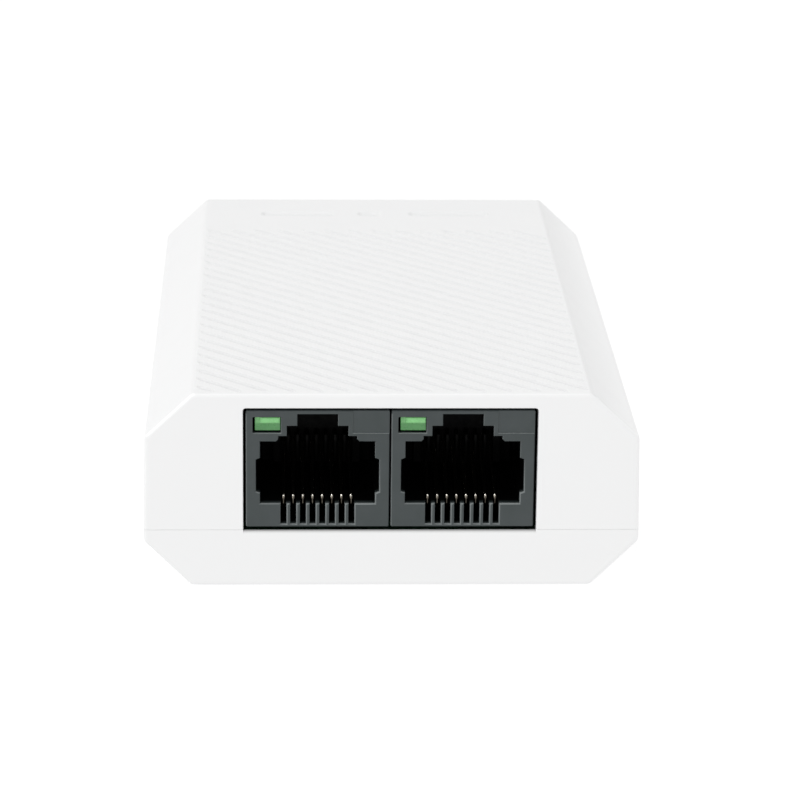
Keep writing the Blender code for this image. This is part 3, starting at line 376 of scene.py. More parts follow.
def lathe(profile, name="tool", sides=ROUND_SIDES):
    """Turns a profile of (radius, z) points, whose ends lie on the axis, round Z."""
    bm = bmesh.new()
    base = bm.verts.new((0.0, 0.0, profile[0][1]))
    tip = bm.verts.new((0.0, 0.0, profile[-1][1]))
    rings = [
        [bm.verts.new(point) for point in level(circle(0.0, 0.0, radius, sides), "Z", z)]
        for radius, z in profile[1:-1]
    ]
    for i in range(sides):
        bm.faces.new((base, rings[0][i - 1], rings[0][i]))
        bm.faces.new((tip, rings[-1][i], rings[-1][i - 1]))
        for lower, upper in zip(rings, rings[1:]):
            bm.faces.new((lower[i - 1], lower[i], upper[i], upper[i - 1]))
    return new_object(name, bm)


def arc(centre_a, centre_b, radius, start, stop, steps=6):
    """Points (a, b) of an arc, with its angles in degrees."""
    points = []
    for k in range(steps + 1):
        angle = math.radians(start + (stop - start) * k / steps)
        points.append((centre_a + radius * math.cos(angle), centre_b + radius * math.sin(angle)))
    return points


def sweep(name, path, section):
    """Carries a small (x, across) section along a path of (y, z) points, ends closed.

    The section is scaled at each path point by the path's third value."""
    rings = []
    for i, (y, z, scale) in enumerate(path):
        before = path[max(i - 1, 0)]
        after = path[min(i + 1, len(path) - 1)]
        along = Vector((after[0] - before[0], after[1] - before[1])).normalized()
        across = Vector((-along.y, along.x))
        ring = []
        for x, up in section:
            ring.append((x * scale, y + across.x * up * scale, z + across.y * up * scale))
        rings.append(ring)
    return loft(name, rings)


def combine(target, operation, *tools):
    """Cuts or joins the tools with the target, then removes them."""
    for tool in tools:
        modifier = target.modifiers.new(operation, "BOOLEAN")
        modifier.operation = operation
        modifier.solver = "EXACT"
        modifier.object = tool
    bpy.context.view_layer.update()
    evaluated = target.evaluated_get(bpy.context.evaluated_depsgraph_get())
    mesh = bpy.data.meshes.new_from_object(evaluated)
    mesh.name = target.name
    target.modifiers.clear()
    target.data = mesh
    for tool in tools:
        bpy.data.objects.remove(tool)
    return target


def cut(target, *tools):
    return combine(target, "DIFFERENCE", *tools)


def join(target, *tools):
    return combine(target, "UNION", *tools)


def merge(name, *parts):
    """Puts separate solids into one object without joining their skins."""
    bm = bmesh.new()
    for part in parts:
        part.data.transform(part.matrix_world)
        bm.from_mesh(part.data)
        bpy.data.objects.remove(part)
    return new_object(name, bm)


def moved(obj, offset):
    obj.data.transform(Matrix.Translation(offset))
    return obj


def round_box(name):
    """An upright round node's lowest height, its height, its centre and its radius."""
    low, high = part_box(name)
    return low.z, high.z - low.z, (low + high) / 2, (high.x - low.x) / 2


def finish(obj, material, *nodes, body="chassis", smooth=30.0, slot=None):
    """Shades a piece, sets its material and body, and hides the nodes it stands for."""
    obj.data.materials.clear()
    obj.data.materials.append(material)
    obj.data.shade_smooth()
    obj.data.set_sharp_from_angle(angle=math.radians(smooth))
    weighted = obj.modifiers.new("even_flats", "WEIGHTED_NORMAL")
    weighted.keep_sharp = True
    if body:
        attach(obj, body)
    if nodes:
        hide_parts(*nodes)
    return obj


# ---- materials


class Look:
    """A Principled material with procedural colour, roughness and relief."""

    def __init__(self, name, colour, roughness, metallic=0.0, edge=0.0):
        self.material = bpy.data.materials.new(name)
        self.material.use_nodes = True
        self.tree = self.material.node_tree
        self.shader = self.tree.nodes["Principled BSDF"]
        self.place = self.node("ShaderNodeTexCoord").outputs["Object"]
        self.colour = None
        self.base = colour
        self.normal = None
        self.set("Base Color", (*colour, 1.0))
        self.set("Roughness", roughness)
        self.set("Metallic", metallic)
        self.roughness = roughness
        if edge:
            bevel = self.node("ShaderNodeBevel")
            bevel.samples = 6
            bevel.inputs["Radius"].default_value = edge
            self.normal = bevel.outputs["Normal"]
            self.link(self.normal, self.shader.inputs["Normal"])

    def node(self, kind, **values):
        node = self.tree.nodes.new(kind)
        for key, value in values.items():
            setattr(node, key, value)
        return node

    def link(self, output, socket):
        self.tree.links.new(output, socket)

    def set(self, socket, value):
        self.shader.inputs[socket].default_value = value

    def stretched(self, stretch):
        """The object's coordinates, scaled per axis."""
        if stretch is None:
            return self.place
        mapping = self.node("ShaderNodeMapping")
        mapping.inputs["Scale"].default_value = stretch
        self.link(self.place, mapping.inputs["Vector"])
        return mapping.outputs["Vector"]

    def noise(self, size, detail, stretch=None):
        noise = self.node("ShaderNodeTexNoise")
        noise.inputs["Scale"].default_value = 1.0 / size
        noise.inputs["Detail"].default_value = detail
        self.link(self.stretched(stretch), noise.inputs["Vector"])
        return noise.outputs["Fac"]

    def cells(self, size, feature="F1", stretch=None):
        cells = self.node("ShaderNodeTexVoronoi", feature=feature)
        cells.inputs["Scale"].default_value = 1.0 / size
        self.link(self.stretched(stretch), cells.inputs["Vector"])
        return cells.outputs["Distance"]

    def ranged(self, source, low, high, from_low=0.3, from_high=0.7):
        ranged = self.node("ShaderNodeMapRange")
        ranged.inputs["From Min"].default_value = from_low
        ranged.inputs["From Max"].default_value = from_high
        ranged.inputs["To Min"].default_value = low
        ranged.inputs["To Max"].default_value = high
        self.link(source, ranged.inputs["Value"])
        return ranged.outputs["Result"]

    def mix_colour(self, factor, other):
        """Blends the colour so far towards another by a factor output."""
        mix = self.node("ShaderNodeMix", data_type="RGBA")
        self.link(factor, mix.inputs["Factor"])
        if self.colour is None:
            mix.inputs["A"].default_value = (*self.base, 1.0)
        else:
            self.link(self.colour, mix.inputs["A"])
        mix.inputs["B"].default_value = (*other, 1.0)
        self.colour = mix.outputs["Result"]
        self.link(self.colour, self.shader.inputs["Base Color"])
        return self

    def along(self, axis, start, stop):
        """A factor that climbs from 0 to 1 between two places on one axis."""
        parts = self.node("ShaderNodeSeparateXYZ")
        self.link(self.place, parts.inputs["Vector"])
        return self.ranged(parts.outputs[axis], 0.0, 1.0, start, stop)

    def within(self, axis, low, high):
        """A factor of 1 between two places on one axis and 0 outside them."""
        return self.product(
            self.along(axis, low - SOFT_LIMIT, low), self.along(axis, high + SOFT_LIMIT, high)
        )

    def facing(self, way, low, high):
        """A factor that climbs from 0 to 1 as the surface turns to face one way."""
        dot = self.node("ShaderNodeVectorMath", operation="DOT_PRODUCT")
        dot.inputs[1].default_value = Vector(way).normalized()
        self.link(self.node("ShaderNodeNewGeometry").outputs["Normal"], dot.inputs[0])
        return self.ranged(dot.outputs["Value"], 0.0, 1.0, low, high)

    def product(self, first, second):
        times = self.node("ShaderNodeMath", operation="MULTIPLY")
        self.link(first, times.inputs[0])
        self.link(second, times.inputs[1])
        return times.outputs["Value"]

    def drive(self, socket, factor, at_zero, at_one):
        """Makes one of the shader's values follow a factor."""
        self.link(self.ranged(factor, at_zero, at_one, 0.0, 1.0), self.shader.inputs[socket])
        return self

    def mottle(self, size, other, amount, detail=3.0):
        """Soft patches of another colour."""
        return self.mix_colour(self.ranged(self.noise(size, detail), 0.0, amount), other)

    def vary_roughness(self, size, spread, stretch=None):
        source = self.noise(size, 3.0, stretch)
        spread_out = self.ranged(source, self.roughness - spread, self.roughness + spread)
        self.link(spread_out, self.shader.inputs["Roughness"])
        return self

    def relief(self, source, depth):
        """Adds bump of a real depth, on top of any bump so far."""
        bump = self.node("ShaderNodeBump")
        bump.inputs["Distance"].default_value = depth
        self.link(source, bump.inputs["Height"])
        if self.normal is not None:
            self.link(self.normal, bump.inputs["Normal"])
        self.normal = bump.outputs["Normal"]
        self.link(self.normal, self.shader.inputs["Normal"])
        return self


def case_white(name):
    look = Look(name, (0.86, 0.862, 0.862), 0.34, edge=0.06 * MM)
    look.mottle(9.0 * MM, (0.85, 0.853, 0.855), 0.6)
    look.vary_roughness(3.0 * MM, 0.03)
    look.relief(look.noise(0.16 * MM, 3.0), 0.0025 * MM)
    return look


def case_upper():
    """Painted highlight on the left front corner, painted shade on the right-hand chamfer and on
    the groove floors.
    """
    look = case_white("case_white_upper")
    # Painted highlight: near the front, edges that face up, left and forwards are lightened.
    corner = look.product(look.facing(CORNER_WAY, 0.86, 0.96), look.along("Y", *CORNER_REACH))
    look.mix_colour(corner, CORNER_PAINTED_HIGHLIGHT)
    # Painted shade on the right-hand chamfer, darkest at its top edge and gone towards its foot.
    chamfer = look.facing((1.0, 0.0, 0.94), 0.70, 0.85)
    across = look.along("X", HALF_WIDTH - 1.2 * MM, HALF_WIDTH - TOP_CHAMFER.x)
    look.mix_colour(look.product(chamfer, across), CHAMFER_PAINTED_SHADE)
    # Painted shade on the floors of the grooves and bars, by depth, fading towards the rear.
    marked = look.product(
        look.within("X", PANEL_LEFT, PANEL_RIGHT), look.within("Y", PANEL_FRONT, REAR - 5.0 * MM)
    )
    sunk = look.along("Z", TOP, TOP - GROOVE_SHADE_DEPTH)
    faded = look.ranged(look.along("Y", PANEL_FRONT, PANEL_REAR), 1.0, GROOVE_FADE, 0.0, 1.0)
    look.mix_colour(look.product(look.product(marked, sunk), faded), GROOVE_PAINTED_SHADE)
    return look.material


def case_lower():
    """Painted shade on the sill under the sockets, where the gap above it shades it."""
    look = case_white("case_white_lower")
    top = look.product(
        look.along("Z", SILL_LOW - SILL_ROUND.y, SILL_LOW),
        look.along("Z", SILL_LOW + 0.03 * MM, SILL_LOW + 0.01 * MM),
    )
    look.mix_colour(look.product(look.facing((0.0, 0.0, 1.0), 0.1, 0.8), top), SILL_PAINTED_SHADE)
    return look.material


def socket_grey():
    look = Look("socket_grey", (0.034, 0.0445, 0.045), 0.38, edge=0.05 * MM)
    look.mottle(2.2 * MM, (0.043, 0.053, 0.055), 0.8)
    # Painted highlight on rims near the face that turn up and to the left, short of the top edge.
    edges = look.facing((-0.5, 0.0, 0.86), 0.02, 0.5)
    front = look.product(look.along("Y", *SOCKET_RIMS), look.along("Z", *SOCKET_RIM_HEIGHTS))
    look.mix_colour(look.product(edges, front), SOCKET_RIM_PAINTED_HIGHLIGHT)
    # Painted shade: behind its face the moulding turns nearly black and its reflections are turned
    # down.
    deep = look.along("Y", *SOCKET_PAINTED_SHADE)
    look.mix_colour(deep, (0.001, 0.0011, 0.0011))
    look.drive("Specular IOR Level", deep, 0.5, 0.08)
    look.vary_roughness(1.0 * MM, 0.06)
    look.relief(look.noise(0.09 * MM, 4.0), 0.006 * MM)
    return look.material


def plain(name, colour, roughness, patches, uneven, grain, metallic=0.0, edge=0.0, **values):
    """A material without marked places, its sizes in millimetres.

    patches is (size, colour, amount, detail), uneven is (size, spread) of the roughness, and
    grain is (size, depth, detail, stretch), where no detail means cells in place of noise."""
    look = Look(name, colour, roughness, metallic, edge * MM)
    patch, other, amount, *detail = patches
    look.mottle(patch * MM, other, amount, *detail)
    for socket, value in values.items():
        look.set(socket.replace("_", " "), value)
    look.vary_roughness(uneven[0] * MM, uneven[1])
    size, depth, *pattern = grain
    source = look.noise(size * MM, *pattern) if pattern else look.cells(size * MM)
    return look.relief(source, depth * MM).material


def contact_gold():
    look = Look("contact_gold", (0.05, 0.04, 0.03), 0.14, 1.0)
    # Painted shade: the metal is nearly black below a height and pale above it, so its highlights
    # stop there.
    look.mix_colour(look.along("Z", *CONTACT_PAINTED_SHADE), (0.94, 0.90, 0.81))
    look.mottle(0.9 * MM, (0.84, 0.79, 0.67), 0.15)
    look.vary_roughness(0.3 * MM, 0.03, stretch=(1.0, 0.2, 1.0))
    look.relief(look.noise(0.05 * MM, 2.0, (1.0, 0.15, 1.0)), 0.0004 * MM)
    return look.material


def lens_green(name):
    """The lens has painted light: brighter above its middle, away from its left end."""
    look = Look(f"{name}_lens_green", (0.05, 0.22, 0.055), 0.3)
    look.set("Subsurface Weight", 0.15)
    look.set("Subsurface Radius", (0.3, 0.8, 0.3))
    look.set("Subsurface Scale", 0.8 * MM)
    look.set("Coat Weight", 0.6)
    look.set("Coat Roughness", 0.08)
    middle = BOARD_TOP + (LED_LOW + LED_HIGH) / 2
    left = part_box(f"{name}_led")[0].x
    # Painted light on the lens, above its middle and away from its left end.
    lit = look.product(
        look.along("Z", middle + 0.05 * MM, middle + 0.3 * MM),
        look.along("X", left - 0.3 * MM, left + 0.95 * MM),
    )
    look.mix_colour(lit, (0.22, 0.58, 0.21))
    look.mottle(0.8 * MM, (0.12, 0.36, 0.12), 0.3)
    look.vary_roughness(0.5 * MM, 0.08)
    look.relief(look.noise(0.25 * MM, 2.0), 0.006 * MM)
    return look.material


def board_mask():
    look = Look("board_mask", (0.015, 0.13, 0.05), 0.32)
    cells = look.cells(2.6 * MM, "DISTANCE_TO_EDGE", (1.0, 1.0, 0.05))
    tracks = look.ranged(cells, 1.0, 0.0, 0.02, 0.06)
    look.mix_colour(tracks, (0.03, 0.22, 0.09))
    # Painted shade: the board turns nearly black towards its front edge.
    look.mix_colour(look.along("Y", FRONT + 5.0 * MM, FRONT + 3.0 * MM), (0.002, 0.003, 0.002))
    look.mottle(6.0 * MM, (0.012, 0.10, 0.042), 0.5)
    look.vary_roughness(2.0 * MM, 0.06)
    look.relief(tracks, 0.03 * MM)
    look.relief(look.noise(0.3 * MM, 3.0), 0.003 * MM)
    return look.material


CASE_UPPER = case_upper()
CASE_LOWER = case_lower()
SOCKET_GREY = socket_grey()
CONTACT_GOLD = contact_gold()
LENS_GREEN = {name: lens_green(name) for name in JACKS}
BOARD_MASK = board_mask()
INSERT_BLACK = plain(
    "insert_black", (0.001, 0.001, 0.0012), 0.5, (1.5, (0.002, 0.002, 0.0022), 0.7),
    (0.8, 0.07), (0.08, 0.004, 3.0), edge=0.04, Specular_IOR_Level=0.1,
)
TINNED = plain(
    "tinned_metal", (0.72, 0.72, 0.70), 0.3, (0.8, (0.62, 0.62, 0.60), 0.7),
    (0.4, 0.1), (0.12, 0.004, 3.0), metallic=1.0,
)
RUBBER = plain(
    "foot_rubber", (0.045, 0.045, 0.047), 0.75, (1.2, (0.075, 0.075, 0.078), 0.8),
    (0.8, 0.08), (0.14, 0.012, 4.0), edge=0.05,
)
LABEL_FILM = plain(
    "label_film", (0.74, 0.75, 0.75), 0.5, (5.0, (0.70, 0.71, 0.71), 0.7),
    (1.5, 0.07), (0.35, 0.004, 4.0, (1.0, 3.0, 1.0)),
)
SCREW_STEEL = plain(
    "screw_steel", (0.50, 0.50, 0.51), 0.32, (1.0, (0.40, 0.40, 0.42), 0.8),
    (0.5, 0.1), (0.18, 0.004), metallic=1.0, edge=0.05,
)
MOULDED_BLACK = plain(
    "moulded_black", (0.022, 0.022, 0.024), 0.45, (1.6, (0.035, 0.035, 0.037), 0.8),
    (0.9, 0.08), (0.1, 0.006, 4.0), edge=0.05,
)
FERRITE = plain(
    "ferrite_grey", (0.055, 0.055, 0.06), 0.6, (0.5, (0.10, 0.10, 0.105), 0.8, 5.0),
    (0.6, 0.1), (0.2, 0.012),
)
COPPER = plain(
    "enamelled_copper", (0.72, 0.30, 0.12), 0.28, (1.2, (0.60, 0.22, 0.08), 0.8),
    (0.5, 0.08), (0.1, 0.003, 2.0), metallic=1.0, Coat_Weight=0.5,
)
SLEEVE_BLUE = plain(
    "sleeve_blue", (0.025, 0.04, 0.12), 0.33, (2.0, (0.035, 0.055, 0.15), 0.7),
    (1.2, 0.07), (0.5, 0.01, 3.0, (1.0, 1.0, 0.3)),
)
FUSE_CERAMIC = plain(
    "fuse_ceramic", (0.80, 0.78, 0.70), 0.4, (0.8, (0.72, 0.70, 0.62), 0.8),
    (0.5, 0.08), (0.12, 0.006, 4.0),
)


# ---- case


def case_outline():
    """The case's section, anticlockwise from the left end of its underside."""
    upper = HALF_WIDTH - SIDE_DRAFT
    right = [
        (HALF_WIDTH - BASE_CHAMFER.x, UNDERSIDE),
        (HALF_WIDTH, UNDERSIDE + BASE_CHAMFER.y),
        (HALF_WIDTH, SEAM),
        (upper, TOP - TOP_CHAMFER.y),
        (upper - TOP_CHAMFER.x, TOP),
    ]
    return right + [(-x, z) for x, z in reversed(right)]


def case_tube(name):
    """The whole case, hollow, before the split at the seam."""
    section = filleted(case_outline(), LONG_EDGE_ROUND, ROUND_STEPS)
    solid = soft_prism(section, "Y", FRONT, REAR, END_EDGE_ROUND, name, ROUND_STEPS)
    hollow = prism(inset(case_outline(), WALL), "Y", FRONT + WALL, REAR - WALL)
    return cut(solid, hollow)


def seam_plan(inset_by):
    x = HALF_WIDTH - inset_by
    return filleted(
        rectangle(-x, FRONT + inset_by, x, REAR - inset_by), END_EDGE_ROUND, ROUND_STEPS
    )


def seam_block(inset_by, low, high):
    return prism(seam_plan(inset_by), "Z", low, high)


def half_space(low, high):
    """Everything between two heights."""
    far = 2 * REAR
    return box((-far, -far, low), (far, far, high))


def seam_edge_cutter(meets, way):
    """Takes a small slope off a shell's outer edge where it meets the other shell.

    way is 1 for the shell above the seam and -1 for the one below."""
    start = meets - way * SEAM_EDGE
    stop = meets + way * CUT_PAST
    ring = half_space(min(start, stop), max(start, stop))
    plan = seam_plan(0.0)
    slope = [
        level(inset(plan, SEAM_EDGE - way * (z - meets)), "Z", z)
        for z in (start - way * SEAM_EDGE / 2, stop + way * SEAM_EDGE)
    ]
    return cut(ring, loft("keep", slope))


def opening_cutter():
    """The opening that the two sockets fill, with rounded upper corners and a soft edge."""
    outline = rectangle(OPENING_LEFT, UNDERSIDE, OPENING_RIGHT, OPENING_TOP)
    return mouth_cutter(filleted(outline, OPENING_ROUND, 4), "Y", FRONT, INSIDE, OPENING_EDGE)


def groove_section(size):
    """Dished section of a groove as (across, up), closed well above the surface."""
    points = []
    for k in range(GROOVE_STEPS + 1):
        share = 1.25 * (2 * k / GROOVE_STEPS - 1)
        up = GROOVE_DEPTH * size * (share * share - 1)
        points.append((GROOVE_HALF_WIDTH * size * share, up))
    wide = points[-1][0]
    return points + [(wide, CUT_PAST), (-wide, CUT_PAST)]


def grooves_cutter():
    """Slanting grooves at 45 degrees, each clipped to the panel and run out at its ends."""
    bm = bmesh.new()
    step = GROOVE_PITCH * math.sqrt(2)
    across = Vector((1, 1, 0)).normalized()
    first = math.ceil((PANEL_LEFT + PANEL_FRONT) / step)
    last = math.floor((PANEL_RIGHT + PANEL_REAR) / step)
    for number in range(first, last + 1):
        total = (number + GROOVE_PHASE) * step
        x_low = max(PANEL_LEFT, total - PANEL_REAR)
        x_high = min(PANEL_RIGHT, total - PANEL_FRONT)
        if x_high - x_low < SHORTEST_GROOVE:
            continue
        rings = []
        for x, size in (
            (x_low, 0.1),
            (x_low + GROOVE_TAPER / 3, 0.55),
            (x_low + GROOVE_TAPER, 1.0),
            (x_high - GROOVE_TAPER, 1.0),
            (x_high - GROOVE_TAPER / 3, 0.55),
            (x_high, 0.1),
        ):
            point = Vector((x, total - x, TOP))
            section = groove_section(size)
            rings.append([tuple(point + across * a + Vector((0, 0, b))) for a, b in section])
        add_loft(bm, rings)
    return new_object("tool", bm)


def bars_cutter():
    """Dished bars, each a stack of rounded outlines that widen towards the surface."""
    bm = bmesh.new()
    for left, length in BARS:
        rings = []
        for k in range(1, BAR_STEPS + 1):
            share = k / BAR_STEPS * 1.1
            half = BAR_WIDTH / 2 * share
            middle = left + BAR_WIDTH / 2
            right = left + length - BAR_WIDTH / 2 + half
            outline = rectangle(middle - half, BAR_Y - half, right, BAR_Y + half)
            outline = filleted(outline, 0.9 * half, 4)
            rings.append(level(outline, "Z", TOP + BAR_DEPTH * (share * share - 1)))
        rings.append(level(outline, "Z", TOP + CUT_PAST))
        add_loft(bm, rings)
    return new_object("tool", bm)


def pillars(centres, radius, low, high):
    bm = bmesh.new()
    for x, y in centres:
        add_loft(bm, [level(circle(x, y, radius), "Z", z) for z in (low, high)])
    return new_object("tool", bm)


def build_top_shell():
    shell = case_tube("top_shell")
    meets = SEAM + SEAM_GAP / 2
    rebate = seam_block(LIP_INSET - LIP_CLEARANCE, UNDERSIDE, SEAM + LIP_RISE + LIP_CLEARANCE)
    cut(shell, half_space(-TOP, meets), rebate, opening_cutter())
    join(shell, pillars(SCREWS, BOSS_RADIUS, BOARD_TOP + 0.15 * MM, TOP - WALL + 0.2 * MM))
    inlet = mouth_cutter(
        circle(INLET_X, INLET_Z, INLET_HOLE_RADIUS), "Y", REAR, REAR - WALL - CUT_PAST, 0.3 * MM
    )
    cut(
        shell,
        pillars(SCREWS, PILOT_RADIUS, UNDERSIDE, 16.5 * MM),
        inlet,
        grooves_cutter(),
        bars_cutter(),
        seam_edge_cutter(meets, 1),
    )
    return finish(shell, CASE_UPPER, "top_cover", slot="white_case")


def build_bottom_shell():
    shell = case_tube("bottom_shell")
    meets = SEAM - SEAM_GAP / 2
    cut(shell, half_space(meets, 2 * TOP))
    lip = seam_block(LIP_INSET, SEAM - 1.0 * MM, SEAM + LIP_RISE)
    jack_gap = box(
        (JACKS_LEFT - LIP_GAP, FRONT - CUT_PAST, 0.0), (JACKS_RIGHT + LIP_GAP, INSIDE, TOP)
    )
    rebate = box((OPENING_LEFT, FRONT + SILL, SEAM - SILL_DROP), (OPENING_RIGHT, INSIDE, TOP))
    cut(lip, seam_block(LIP_INNER_INSET, 0.0, TOP), jack_gap)
    start = SILL_LOW - SILL_ROUND.y
    brow = [(FRONT - CUT_PAST, SEAM + CUT_PAST), (FRONT - CUT_PAST, start)]
    for a, b in arc(1.0, 0.0, 1.0, 180.0, 90.0):
        brow.append((FRONT + a * SILL_ROUND.x, start + b * SILL_ROUND.y))
    brow += [(FRONT + WALL, SILL_LOW), (FRONT + WALL, SEAM + CUT_PAST)]
    sill_edge = prism(brow, "X", OPENING_LEFT, OPENING_RIGHT)
    join(shell, lip)
    support_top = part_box("circuit_board")[0].z - 0.15 * MM
    join(shell, pillars(SCREWS, BOSS_RADIUS + 0.4 * MM, UNDERSIDE + WALL - 0.2 * MM, support_top))
    tools = [rebate, sill_edge, pillars(SCREWS, CLEARANCE_RADIUS, 0.0, support_top + CUT_PAST)]
    for x, y in SCREWS:
        bore = circle(x, y, COUNTERBORE_RADIUS)
        tools.append(mouth_cutter(bore, "Z", UNDERSIDE, COUNTERBORE_TOP, HOLE_EDGE))
    for number in range(1, 5):
        _, _, centre, radius = round_box(f"foot_{number}")
        seat = circle(centre.x, centre.y, radius + SIDE_GAP)
        tools.append(mouth_cutter(seat, "Z", UNDERSIDE, UNDERSIDE + FOOT_RECESS, 0.1 * MM))
    low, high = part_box("blank_label")
    seat = rectangle(low.x - SIDE_GAP, low.y - SIDE_GAP, high.x + SIDE_GAP, high.y + SIDE_GAP)
    seat = filleted(seat, 1.0 * MM, 6)
    tools.append(mouth_cutter(seat, "Z", UNDERSIDE, UNDERSIDE + 0.2 * MM, 0.06 * MM))
    cut(shell, *tools, seam_edge_cutter(meets, -1))
    return finish(shell, CASE_LOWER, "bottom_cover", slot="white_case")


# ---- screws, feet and label


def build_screws():
    for number in range(1, 5):
        base, length, centre, radius = round_box(f"case_screw_{number}")
        head, shank = SCREW_HEAD, SCREW_SHANK
        profile = [(0.0, 0.06 * MM), (radius * 0.55, 0.03 * MM)]
        profile += arc(radius - 0.35 * MM, 0.35 * MM, 0.35 * MM, -90, 0)
        profile += [(radius, head - 0.06 * MM), (radius - 0.06 * MM, head)]
        profile += arc(shank + 0.15 * MM, head + 0.15 * MM, 0.15 * MM, -90, -180, 3)
        z = head + 0.5 * MM
        while z < length - 1.6 * MM:
            root = shank - THREAD_DEPTH
            profile += [(shank, z), (root, z + 0.25 * MM), (shank, z + 0.5 * MM)]
            z += THREAD_PITCH
        profile += [(shank * 0.75, length - 0.9 * MM), (0.0, length)]
        screw = lathe(profile, f"screw_{number}")
        long, short = CROSS_ARM
        for a, b in ((long, short), (short, long)):
            rings = []
            for z, scale in ((-CUT_PAST, 1.25), (CROSS_DEPTH, 0.7)):
                outline = rectangle(-a * scale, -b * scale, a * scale, b * scale)
                rings.append(level(outline, "Z", z))
            cut(screw, loft("tool", rings))
        moved(screw, Vector((centre.x, centre.y, base)))
        finish(screw, SCREW_STEEL, f"case_screw_{number}", slot="steel_screw")


def build_feet():
    for number in range(1, 5):
        base, thick, centre, radius = round_box(f"foot_{number}")
        dish = ((0.0, 0.12), (0.35, 0.10), (0.55, 0.05), (0.68, 0.0))
        profile = [(radius * share, sunk * MM) for share, sunk in dish]
        profile += arc(radius - FOOT_ROUND, FOOT_ROUND, FOOT_ROUND, -90, 0)
        profile += [(radius, thick), (0.0, thick)]
        foot = lathe(profile, f"rubber_foot_{number}", 64)
        moved(foot, Vector((centre.x, centre.y, base)))
        finish(foot, RUBBER, f"foot_{number}", slot="rubber")


def build_label():
    low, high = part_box("blank_label")
    label = soft_box(low, high, 0.9 * MM, 0.04 * MM, "Z", "blank_film", 6)
    finish(label, LABEL_FILM, "blank_label", slot="label")


# ---- network sockets


def contact_places():
    return [(i - (CONTACTS - 1) / 2) * CONTACT_PITCH for i in range(CONTACTS)]


def jack_origin(name):
    low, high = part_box(f"{name}_jack_housing")
    return Vector(((low.x + high.x) / 2, low.y, BOARD_TOP))


def mouth_outline():
    """The plug's way in, anticlockwise, with the eight contact slots along its floor."""
    right = [(x * MM, z * MM) for x, z in MOUTH]
    left = [(-x, z) for x, z in reversed(right)]
    floor = []
    for x in contact_places():
        half = SLOT_WIDTH / 2
        floor += [(x - half, SOCKET_FLOOR), (x - half, SLOT_FLOOR)]
        floor += [(x + half, SLOT_FLOOR), (x + half, SOCKET_FLOOR)]
    return right + left + floor


def build_socket_body(name):
    half = JACK_HALF_WIDTH
    body = soft_box(
        (-half, 0.0, JACK_LOW), (half, JACK_DEPTH, JACK_HEIGHT), 0.16 * MM, JACK_EDGE,
        "Y", f"{name}_socket_body",
    )
    pegs = []
    for side in (-1, 1):
        peg = circle(side * PEG_X, PEG_Y, PEG_RADIUS)
        pegs.append(soft_prism(peg, "Z", PEG_LOW, JACK_LOW + 0.2 * MM, 0.3 * MM))
    join(body, *pegs)
    back = JACK_DEPTH + CUT_PAST
    chamber = box(
        (-CHAMBER_HALF_WIDTH, CHAMBER_FRONT, -CUT_PAST), (CHAMBER_HALF_WIDTH, back, CHAMBER_TOP)
    )
    led_window = filleted(rectangle(LED_LEFT, LED_LOW, LED_RIGHT, LED_HIGH), 0.08 * MM, 2)
    corner = rectangle(BLANK_LEFT, LED_LOW, half + CUT_PAST, JACK_HEIGHT + CUT_PAST)
    blank = mouth_cutter(corner, "Y", 0.0, BLANK_DEPTH, BLANK_EDGE)
    cut(
        body,
        mouth_cutter(mouth_outline(), "Y", 0.0, SOCKET_DEPTH, MOUTH_EDGE),
        chamber,
        mouth_cutter(led_window, "Y", 0.0, back, 0.05 * MM),
        blank,
    )
    moved(body, jack_origin(name))
    finish(body, SOCKET_GREY, f"{name}_jack_housing", slot="dark_socket")


def build_contact_block(name):
    """The insert behind the socket, with the comb that spaces the wires' free ends."""
    block = soft_box(
        (-CARRIER_HALF_WIDTH, CARRIER_FRONT, CARRIER_LOW),
        (CARRIER_HALF_WIDTH, CARRIER_REAR, CARRIER_HIGH),
        0.2 * MM, 0.2 * MM, "Y", f"{name}_contact_block",
    )
    half = (CONTACT_PITCH - COMB_SLOT_WIDTH) / 2
    middles = [x + CONTACT_PITCH / 2 for x in contact_places()[:-1]]
    spans = [(x - half, x + half, 0.1 * MM) for x in middles]
    outer = contact_places()[-1] + COMB_SLOT_WIDTH / 2
    for side in (-1, 1):
        spans.append((*sorted((side * outer, side * COMB_HALF_WIDTH)), 0.08 * MM))
    back = CARRIER_FRONT + 0.1 * MM
    ridges = [
        soft_box((left, COMB_FRONT, COMB_LOW), (right, back, COMB_HIGH), soft, soft)
        for left, right, soft in spans
    ]
    join(block, *ridges)
    moved(block, jack_origin(name))
    finish(block, INSERT_BLACK, f"{name}_contact_carrier", slot="dark_insert")


def build_contact_tails(name):
    tails = []
    half = TAIL_WIDTH / 2
    top = CARRIER_LOW + 0.05 * MM
    for i, x in enumerate(contact_places()):
        y = TAIL_ROWS[i % 2]
        low, high = (x - half, y - half, PIN_END), (x + half, y + half, top)
        tails.append(soft_box(low, high, 0.06 * MM, 0.1 * MM))
    piece = moved(merge(f"{name}_contact_tails", *tails), jack_origin(name))
    finish(piece, TINNED, slot="tinned_metal")


